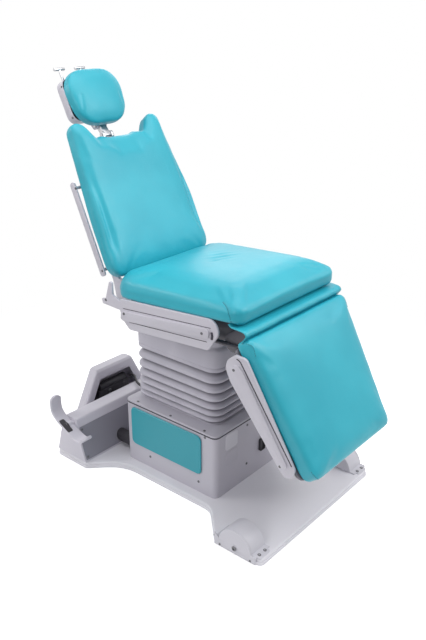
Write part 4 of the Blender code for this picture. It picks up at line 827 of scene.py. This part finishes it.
# %% Lines and grids of points
def smooth_line(points, steps):
    """Points along a smooth curve through the given ones."""
    knots = [Vector(point) for point in points]
    knots = [2 * knots[0] - knots[1], *knots, 2 * knots[-1] - knots[-2]]
    line = []
    for before, start, end, after in zip(knots, knots[1:], knots[2:], knots[3:]):
        for step in range(steps):
            t = step / steps
            bend = (2 * before - 5 * start + 4 * end - after) * t * t
            twist = (3 * start - before - 3 * end + after) * t ** 3
            line.append((2 * start + (end - before) * t + bend + twist) / 2)
    line.append(knots[-2])
    return line


def length_of(line):
    return sum((end - start).length for start, end in zip(line, line[1:]))


def grid_mesh(name, rows):
    """Rows of points as one mesh of four-sided faces."""
    width = len(rows[0])
    starts = [row * width + place for row in range(len(rows) - 1) for place in range(width - 1)]
    faces = [(first, first + 1, first + width + 1, first + width) for first in starts]
    mesh = bpy.data.meshes.new(name)
    mesh.from_pydata([point for row in rows for point in row], [], faces)
    return mesh


print("line helpers ready")

# %% Apron
APRON_HALF = 0.275
APRON_ACROSS = 48
APRON_LINE = ((-0.3468, 0.7769), (-0.3588, 0.7686), (-0.386, 0.7665), (-0.409, 0.763), (-0.416, 0.752),
              (-0.408, 0.7405), (-0.4006, 0.7282))
apron_profile = smooth_line([(0, y, z) for y, z in APRON_LINE], 6)
apron_length = length_of(apron_profile)
apron_rows = []
for step in range(APRON_ACROSS + 1):
    across = -1 + 2 * step / APRON_ACROSS
    slack = 0.0012 * math.sin(9 * across + 1.0) + 0.0008 * math.sin(23 * across)
    row = []
    for place, point in enumerate(apron_profile):
        loose = slack * math.sin(math.pi * place / (len(apron_profile) - 1))
        row.append((across * APRON_HALF, point.y - loose, point.z))
    apron_rows.append(row)
apron = as_object("apron_vinyl", grid_mesh("apron_vinyl", apron_rows), vinyl)
modify(apron, "SOLIDIFY", thickness=0.0026, offset=0)
applied(apron)
apron.data.shade_smooth()
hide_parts("apron")
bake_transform(apron)
print("apron length:", round(apron_length, 4))

# %% [markdown]
# ## Bellows
# The lifting column wears a moulded rubber bellows. Its section is a rounded rectangle, and its pleats lie
# closer together at the bottom, where the weight of the rubber rests. That is a rule, so a node tree makes
# it: a grid is wrapped round the section, and each row is drawn inwards by an amount set by its height.

# %% Bellows section
BELLOWS_FOOT = 0.2861
BELLOWS_MIDDLE = 0.02
BELLOWS_HEIGHT = 0.3456
pleats = Shape(
    "pleated_bellows", Width=0.28, Length=0.41, Corner=0.05, Height=BELLOWS_HEIGHT, Depth=0.021,
    First_Fold=0.032, Pitch=0.02515, Growth=0.00185, Folds=5.5, Soft_Fold=0.306, Foot=BELLOWS_FOOT,
)
section = pleats.node(
    "GeometryNodeCurvePrimitiveQuadrilateral", {"mode": "RECTANGLE"},
    {"Width": pleats.given("Width"), "Height": pleats.given("Length")},
)
section = pleats.node(
    "GeometryNodeFilletCurve", {"mode": "POLY"},
    {"Curve": section, "Radius": pleats.given("Corner"), "Count": 12},
)
grid = pleats.node(
    "GeometryNodeMeshGrid", {}, {"Size X": 1.0, "Size Y": 1.0, "Vertices X": 145, "Vertices Y": 241}
)
print("bellows section ready")

# %% Pleats
place = pleats.node("ShaderNodeSeparateXYZ", {}, {0: pleats.node("GeometryNodeInputPosition")})
height = (place["Y"] + 0.5) * pleats.given("Height")
sampled = pleats.node(
    "GeometryNodeSampleCurve", {"mode": "FACTOR", "use_all_curves": False},
    {"Curves": section, "Factor": place["X"] + 0.5},
)
inwards = pleats.vector("CROSS_PRODUCT", (0, 0, 1), sampled["Tangent"])
pitch = pleats.given("Pitch")
growth = pleats.given("Growth")
root = (pitch * pitch + growth * 4 * (height - pleats.given("First_Fold"))) ** 0.5
fold = (root - pitch) / (growth * 2)
lip = fold.math("FRACT", fold) ** 0.5
valley = abs(lip.math("COSINE", lip * math.pi)) ** 3.0
folded = fold.math("LESS_THAN", fold, pleats.given("Folds"))
offset = (height - pleats.given("Soft_Fold")) / 0.011
soft = (0 - offset * offset).math("EXPONENT", 0 - offset * offset)
inset = (valley * folded + soft * 0.3) * pleats.given("Depth")
drawn = pleats.node("ShaderNodeVectorMath", {"operation": "SCALE"}, {0: inwards, "Scale": inset})
lifted = pleats.node("ShaderNodeCombineXYZ", {}, {"Y": BELLOWS_MIDDLE, "Z": height + pleats.given("Foot")})
target = pleats.vector("ADD", pleats.vector("ADD", sampled["Position"], drawn), lifted)
# The groove attribute marks the pleats' valleys, where the rubber's finish paints shade.
marked = pleats.node(
    "GeometryNodeStoreNamedAttribute", {"data_type": "FLOAT", "domain": "POINT"},
    {"Geometry": grid, "Name": "groove", "Value": valley * folded},
)
wrapped = pleats.node("GeometryNodeSetPosition", {}, {"Geometry": marked, "Position": target})
closed = pleats.node("GeometryNodeMergeByDistance", {}, {"Geometry": wrapped, "Distance": 0.0001})
pleats.ends_in(closed, bellows_rubber)
print("pleats ready")

# %% Bellows piece
bellows = pleats.made("bellows_rubber", bellows_rubber)
middle = Vector((0, BELLOWS_MIDDLE, 0))
outwards = 0
for face in bellows.data.polygons:
    away = face.center - middle
    away.z = 0
    outwards += 1 if away.dot(face.normal) > 0 else -1
if outwards < 0:
    bellows.data.flip_normals()
modify(bellows, "SOLIDIFY", thickness=0.0025, offset=-1)
applied(bellows)
bellows.data.shade_smooth()
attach(bellows, "base")
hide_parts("bellows")
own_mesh(bellows)
print("bellows faces:", len(bellows.data.polygons))

# %% [markdown]
# ## Hose
# A thin hydraulic hose runs from the drive unit at the rear to the column. It leaves the column straight,
# lies over the cross beam and turns down into the drive unit.

# %% Hose
HOSE_DIAMETER = 0.01
HOSE_ROUTE = (
    (0.010, 0.2286, 0.230), (0.010, 0.250, 0.229), (0.010, 0.300, 0.224), (0.014, 0.360, 0.2175),
    (0.040, 0.410, 0.2145), (0.062, 0.440, 0.2135), (0.075, 0.470, 0.208), (0.079, 0.487, 0.199),
    (0.079, 0.5027, 0.193),
)
hose_line = smooth_line(HOSE_ROUTE, 4)
hose_length = length_of(hose_line)
hose_curve = bpy.data.curves.new("drive_hose_line", "CURVE")
hose_curve.dimensions = "3D"
hose_curve.bevel_depth = HOSE_DIAMETER / 2
hose_curve.bevel_resolution = 5
hose_curve.use_fill_caps = True
hose_spline = hose_curve.splines.new("POLY")
hose_spline.points.add(len(hose_line) - 1)
for point, place in zip(hose_spline.points, hose_line):
    point.co = (*place, 1)
hose = bpy.data.objects.new("drive_hose_line", hose_curve)
hose_curve.materials.append(black_rubber.material)
scene.collection.objects.link(hose)
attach(hose, "base")
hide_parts("drive_hose")
print("hose length:", round(hose_length, 3))

# %% [markdown]
# ## Screws
# Sheet metal is held by socket screws. One tree makes the head once, a short cylinder with a chamfer and a
# recess, and puts it on points that carry the way it faces and its radius.

# %% Screw tree
screw = Shape("socket_screws", Head_Height=0.5, Socket=0.55)
head = screw.node(
    "GeometryNodeMeshCylinder", {"fill_type": "NGON"},
    {"Vertices": 18, "Radius": 1.0, "Depth": screw.given("Head_Height")},
)
facing_up = screw.node("ShaderNodeSeparateXYZ", {}, {0: screw.node("GeometryNodeInputNormal")})["Z"]
top = facing_up.math("GREATER_THAN", facing_up, 0.9)
for raised, share in ((0.16, 0.84), (0.0, None), (-0.3, 0.92)):
    pulled = screw.node(
        "GeometryNodeExtrudeMesh", {"mode": "FACES"}, {"Mesh": head, "Selection": top, "Offset Scale": raised}
    )
    top = pulled["Top"]
    head = screw.node(
        "GeometryNodeScaleElements", {"domain": "FACE"},
        {"Geometry": pulled, "Selection": top, "Scale": screw.given("Socket") if share is None else share},
    )
direction = screw.node("GeometryNodeInputNamedAttribute", {"data_type": "FLOAT_VECTOR"}, {"Name": "facing"})
turned = screw.node("FunctionNodeAlignRotationToVector", {"axis": "Z"}, {"Vector": direction})
radius_of = screw.node("GeometryNodeInputNamedAttribute", {"data_type": "FLOAT"}, {"Name": "radius"})
placed = screw.node(
    "GeometryNodeInstanceOnPoints", {},
    {"Points": screw.given("Geometry"), "Instance": head, "Rotation": turned, "Scale": radius_of},
)
screw.ends_in(placed, screw_steel)
print("screw tree ready")


# %% Heads on surfaces
def seated(node, place, facing):
    """The point of a finished piece that lies under a place, looking against the facing."""
    way = Vector(facing).normalized()
    bpy.context.view_layer.update()
    found, spot, _, _ = finished[node].ray_cast(Vector(place) + way * 0.08, -way)
    if not found:
        print("nothing under", node, place)
    return spot if found else Vector(place)


def mirrored(point):
    return (-point[0], point[1], point[2])


def screws(body, rows, name="screws"):
    """Screw heads on one body, from (piece, place, facing, radius, whether the other side has one too)."""
    places = []
    for node, place, facing, radius, paired in rows:
        places.append((seated(node, place, facing), facing, radius))
        if paired:
            twin = seated(node.replace("_right", "_left"), mirrored(place), mirrored(facing))
            places.append((twin, mirrored(facing), radius))
    mesh = bpy.data.meshes.new(body + "_" + name)
    mesh.from_pydata([place for place, _, _ in places], [], [])
    mesh.attributes.new("facing", "FLOAT_VECTOR", "POINT")
    mesh.attributes.new("radius", "FLOAT", "POINT")
    for index, (_, way, size) in enumerate(places):
        mesh.attributes["facing"].data[index].vector = way
        mesh.attributes["radius"].data[index].value = size
    made = screw.made(body + "_" + name, screw_steel, mesh)
    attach(made, body)
    print(made.name, "heads:", len(places))


print("screw helpers ready")

# %% Screws of each body
LEFT = (-1, 0, 0)
FRONT = (0, -1, 0)
UP = (0, 0, 1)
BOX_SIDE = ((-0.178, 0.269), (0.101, 0.074), (-0.146, 0.07))
WHEEL_PLATE = ((-0.4447, 0.0268, 0.009), (-0.3804, 0.010, 0.004), (-0.5088, 0.0085, 0.004))
base_rows = [("column_box", (-0.191, y, z), LEFT, 0.005, True) for y, z in BOX_SIDE]
base_rows += [("column_lid", (-0.179, y, 0.2858), UP, 0.005, True) for y in (0.17, 0.0, -0.165)]
base_rows += [("column_box", (-0.011, -0.228, z), FRONT, 0.005, False) for z in (0.259, 0.093)]
base_rows += [("base_cover", (-0.336, -0.3465, 0.026), UP, 0.0048, True)]
base_rows += [("wheel_side_plate_right", (-0.354, y, z), LEFT, r, True) for y, z, r in WHEEL_PLATE]
base_rows += [("beam_panel", (-0.318, 0.317, z), FRONT, 0.005, True) for z in (0.158, 0.044)]
base_rows += [("drive_unit", (-0.028, 0.503, 0.159), FRONT, 0.009, False),
              ("drive_unit", (0.055, 0.503, 0.166), FRONT, 0.006, False)]
screws("base", base_rows)
GUARD_SCREWS = ((0.105, 0.698), (-0.251, 0.724), (0.205, 0.722))
screws("lift", [("seat_side_guard_right", (-0.28, y, z), LEFT, 0.005, True) for y, z in GUARD_SCREWS])
LEG_SCREWS = ((-0.3845, 0.639), (-0.5478, 0.3406))
screws("leg", [("leg_side_guard_right", (-0.28, y, z), LEFT, 0.0048, True) for y, z in LEG_SCREWS])
RAIL_SCREWS = ((0.375, 1.088), (0.250, 0.812))
screws("back", [("back_rail_right", (-0.25, y, z), LEFT, 0.0045, True) for y, z in RAIL_SCREWS])
PAN_SCREWS = ((0.562, 1.411), (0.515, 1.306))
screws("head", [("headrest_pan", (-0.12, y, z), LEFT, 0.004, True) for y, z in PAN_SCREWS])

# %% [markdown]
# ## Dark lines
# Thin dark strips along the side rails' edges and at their ends paint the shadow lines between the rails and
# their plates, and the lid of the column box sits on a gasket. A strip is one rule, a round section along a
# path, so a small tree makes all of the strips.

# %% Strip tree
# The strips are painted shadow: dark lines where the rails meet their plates.
strip = Shape("painted_shade_strip", Radius=0.0016)
strip_path = strip.node("GeometryNodeMeshToCurve", {}, {0: strip.given("Geometry")})
strip_section = strip.node(
    "GeometryNodeCurvePrimitiveCircle", {"mode": "RADIUS"}, {"Resolution": 8, "Radius": strip.given("Radius")}
)
strip_tube = strip.node(
    "GeometryNodeCurveToMesh", {}, {"Curve": strip_path, "Profile Curve": strip_section, "Fill Caps": True}
)
strip.ends_in(strip_tube, gasket_and_shade_rubber)
print("strip tree ready")


# %% Strips
def line_mesh(name, lines):
    """Open lines of points as one mesh of loose edges."""
    points = []
    edges = []
    for line in lines:
        first = len(points)
        points += [tuple(point) for point in line]
        edges += [(i, i + 1) for i in range(first, len(points) - 1)]
    mesh = bpy.data.meshes.new(name)
    mesh.from_pydata(points, edges, [])
    return mesh


def strips(name, body, pad, node, ends, radius):
    """Dark strips of painted shadow on a side plate and on its twin, along lines given by (along, out) of a
    pad.
    """
    lines = []
    for line in ends:
        flat = smooth_line([(0, along, out) for along, out in line], 10)
        places = [pad.placed(point) for point in flat]
        right = [seated(node, (-0.29, p.y, p.z), LEFT) for p in places]
        lines.append(right)
        lines.append([mirrored(point) for point in right])
    made = strip.made(name, gasket_and_shade_rubber, line_mesh(name, lines), Radius=radius)
    made.data.shade_smooth()
    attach(made, body)
    print(name, "lines:", len(lines))


LEG_RAIL = ((0.064, -0.017), (0.075, -0.0095), (0.1, -0.0085), (0.28, -0.0085), (0.44, -0.0085))
RAIL_LOW = ((-0.26, -0.0835), (-0.1, -0.0835), (0.095, -0.0835))
RAIL_HIGH = ((-0.28, -0.0335), (-0.1, -0.035), (0.12, -0.0375))
RAIL_END = ((-0.283, -0.046), (-0.2845, -0.058), (-0.282, -0.07))
# Painted shadow under and over the rails, and in the rails' open ends.
strips("leg_rail_shadow_strips", "leg", leg_pad, "leg_side_guard_right", [LEG_RAIL], 0.002)
strips("seat_rail_shadow_strips", "lift", seat_pad, "seat_side_guard_right", [RAIL_LOW, RAIL_HIGH], 0.0011)
strips("seat_rail_end_shadows", "lift", seat_pad, "seat_side_guard_right", [RAIL_END], 0.0044)

# %% Gasket
GASKET_LOW = 0.2744
GASKET_HIGH = 0.2786
gasket = as_object("lid_gasket", merged_copy("column_lid"), gasket_and_shade_rubber)
lid_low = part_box("column_lid")[0][2]
for vertex in gasket.data.vertices:
    vertex.co.x *= 1.0035
    vertex.co.y *= 1.003
    vertex.co.z = GASKET_LOW if vertex.co.z < lid_low + 0.003 else GASKET_HIGH
smooth(gasket)
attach(gasket, "base")
print("gasket height:", round(GASKET_HIGH - GASKET_LOW, 4))

# %% [markdown]
# ## Plates
# Two bare labels sit on the front of the column box, another on the pedal, and each front foot has a raised
# pad under its bolts. All of them lie on what carries them: a grid of points is dropped on the surface.


# %% Plates that lie on a surface
def laid_on(name, body, node, corners, facing, finish, thick=0.001, columns=8, rows=12, corner=0.2):
    """A thin plate with round corners that follows a finished piece, inside four corner points."""
    low_start, low_end, high_end, high_start = [Vector(point) for point in corners]
    way = Vector(facing).normalized()
    grid = []
    for row in range(rows + 1):
        v = row / rows
        shrink = max(0.0, corner - min(v, 1 - v)) / corner
        inset = 0.12 * (1 - math.sqrt(max(0.0, 1 - shrink * shrink)))
        line = []
        for column in range(columns + 1):
            u = inset + (1 - 2 * inset) * column / columns
            low = low_start.lerp(low_end, u)
            high = high_start.lerp(high_end, u)
            line.append(seated(node, low.lerp(high, v), way) + way * thick * 0.4)
        grid.append(line)
    mesh = grid_mesh(name, grid)
    if sum(face.normal.dot(way) for face in mesh.polygons) < 0:
        mesh.flip_normals()
    plate = as_object(name, mesh, finish)
    modify(plate, "SOLIDIFY", thickness=thick, offset=0)
    modify(plate, "BEVEL", width=thick * 0.3, segments=2)
    applied(plate)
    smooth(plate)
    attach(plate, body)
    return plate


print("plate maker ready")

# %% Labels and foot pads
label_paint = paint_finish("bare_label_paint", colour(214, 212, 220), colour(206, 204, 213), 0.38)
BOX_FRONT = -0.228
LABEL_ENDS = (-0.137, -0.067)
# The lower label has the box's darker paint, which is painted shade.
BOX_LABELS = (("box_label", 0.205, 0.268, label_paint), ("box_label_low", 0.135, 0.198, box_paint_shaded))
for name, low, high, finish in BOX_LABELS:
    start, end = LABEL_ENDS
    corners = [(x, BOX_FRONT, z) for x, z in ((start, low), (end, low), (end, high), (start, high))]
    laid_on(name, "base", "column_box", corners, FRONT, finish, thick=0.0008)
PEDAL_LABEL = (
    (-0.3855, 0.346, 0.171), (-0.361, 0.346, 0.171), (-0.361, 0.401, 0.2018), (-0.3855, 0.401, 0.2018)
)
PEDAL_FACING = (0, -0.5, 0.866)
laid_on("pedal_label", "pedal", "foot_pedal", PEDAL_LABEL, PEDAL_FACING, black_rubber)
COVER_TOP = 0.026
for side, sign in SIDES.items():
    name = "front_foot_pad_" + side
    outer, inner = sign * 0.341, sign * 0.285
    edges = ((outer, -0.5435), (outer, -0.5135), (inner, -0.5135), (inner, -0.5435))
    corners = [(x, y, COVER_TOP) for x, y in edges]
    # The foot pads take the darker housing paint, which is painted shade.
    finished[name] = laid_on(name, "base", "base_cover", corners, UP, housing_paint_shaded, thick=0.0034)
FOOT_BOLTS = (-0.2975, -0.328)
bolt_rows = [("front_foot_pad_right", (x, -0.5285, COVER_TOP), UP, 0.0062, True) for x in FOOT_BOLTS]
screws("base", bolt_rows, "foot_bolts")
print("plates laid")

# %% [markdown]
# ## Seams
# Upholstery is sewn from flat pieces, so each corner of a pad shows a seam. Along a line that is snapped to
# the finished skin, the skin is drawn in a little and a tree sets a row of stitches in the groove.

# %% Stitch tree
seam_thread = paint_finish("seam_thread", colour(22, 112, 128), colour(18, 100, 116), 0.6)
stitch = Shape("seam_stitches", Thread=0.0009, Stitch=0.0054, Pitch=0.0066)
stitch_path = stitch.node("GeometryNodeMeshToCurve", {}, {0: stitch.given("Geometry")})
stitch_spots = stitch.node(
    "GeometryNodeResampleCurve", {"mode": "LENGTH"}, {"Curve": stitch_path, "Length": stitch.given("Pitch")}
)
one_stitch = stitch.node(
    "GeometryNodeMeshCylinder", {"fill_type": "NGON"},
    {"Vertices": 6, "Radius": stitch.given("Thread"), "Depth": stitch.given("Stitch")},
)
along_seam = stitch.node(
    "FunctionNodeAlignRotationToVector", {"axis": "Z"}, {"Vector": stitch.node("GeometryNodeInputTangent")}
)
sewn = stitch.node(
    "GeometryNodeInstanceOnPoints", {},
    {"Points": stitch_spots, "Instance": one_stitch, "Rotation": along_seam},
)
stitch.ends_in(sewn, seam_thread)
print("stitch tree ready")


# %% Seams
def drawn_in(piece, pad, points, depth, width):
    """Presses a groove into a pad along a line on its skin, and gives the line as it lies there."""
    line = []
    for point in smooth_line(points, 6):
        _, spot, normal, _ = piece.closest_point_on_mesh(pad.placed(point))
        line.append((spot.copy(), normal.copy()))
    for vertex in piece.data.vertices:
        gap, nearest = min(((vertex.co - spot).length, i) for i, (spot, _) in enumerate(line))
        if gap < 3 * width:
            vertex.co -= line[nearest][1] * depth * hump(gap, 0, width)
    return [spot - way * depth * 0.7 for spot, way in line]


def seams(name, piece, pad, body, routes, depth=0.002, width=0.0035, sewn_too=True):
    """Grooves and stitches on both sides of a pad."""
    lines = []
    for route in routes:
        for side in (-1, 1):
            lines.append(drawn_in(piece, pad, [(side * x, y, z) for x, y, z in route], depth, width))
    if sewn_too:
        made = stitch.made(name, seam_thread, line_mesh(name, lines))
        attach(made, body)
    print(name, "seams:", len(lines))


print("seam helpers ready")

# %% Sewn corners
SEAT_CORNER = (
    (0.262, -0.318, 0.056), (0.27, -0.34, 0.043), (0.271, -0.353, 0.022), (0.262, -0.3586, -0.004)
)
LEG_TOP_CORNER = ((0.279, 0.03, 0.035), (0.273, 0.045, 0.052), (0.275, 0.075, 0.05))
LEG_LOW_CORNER = ((0.26, 0.478, 0.054), (0.243, 0.492, 0.05), (0.222, 0.505, 0.04))
HEADREST_CREASE = ((0.093, 0.705, 0.015), (0.1, 0.665, 0.012), (0.11, 0.625, 0.0))
bpy.context.view_layer.update()
seams("seat_stitches", seat, seat_pad, "lift", [SEAT_CORNER])
seams("leg_stitches", leg, leg_pad, "leg", [LEG_TOP_CORNER, LEG_LOW_CORNER])
seams("headrest_creases", headrest, back_pad, "head", [HEADREST_CREASE], 0.0014, 0.007, False)
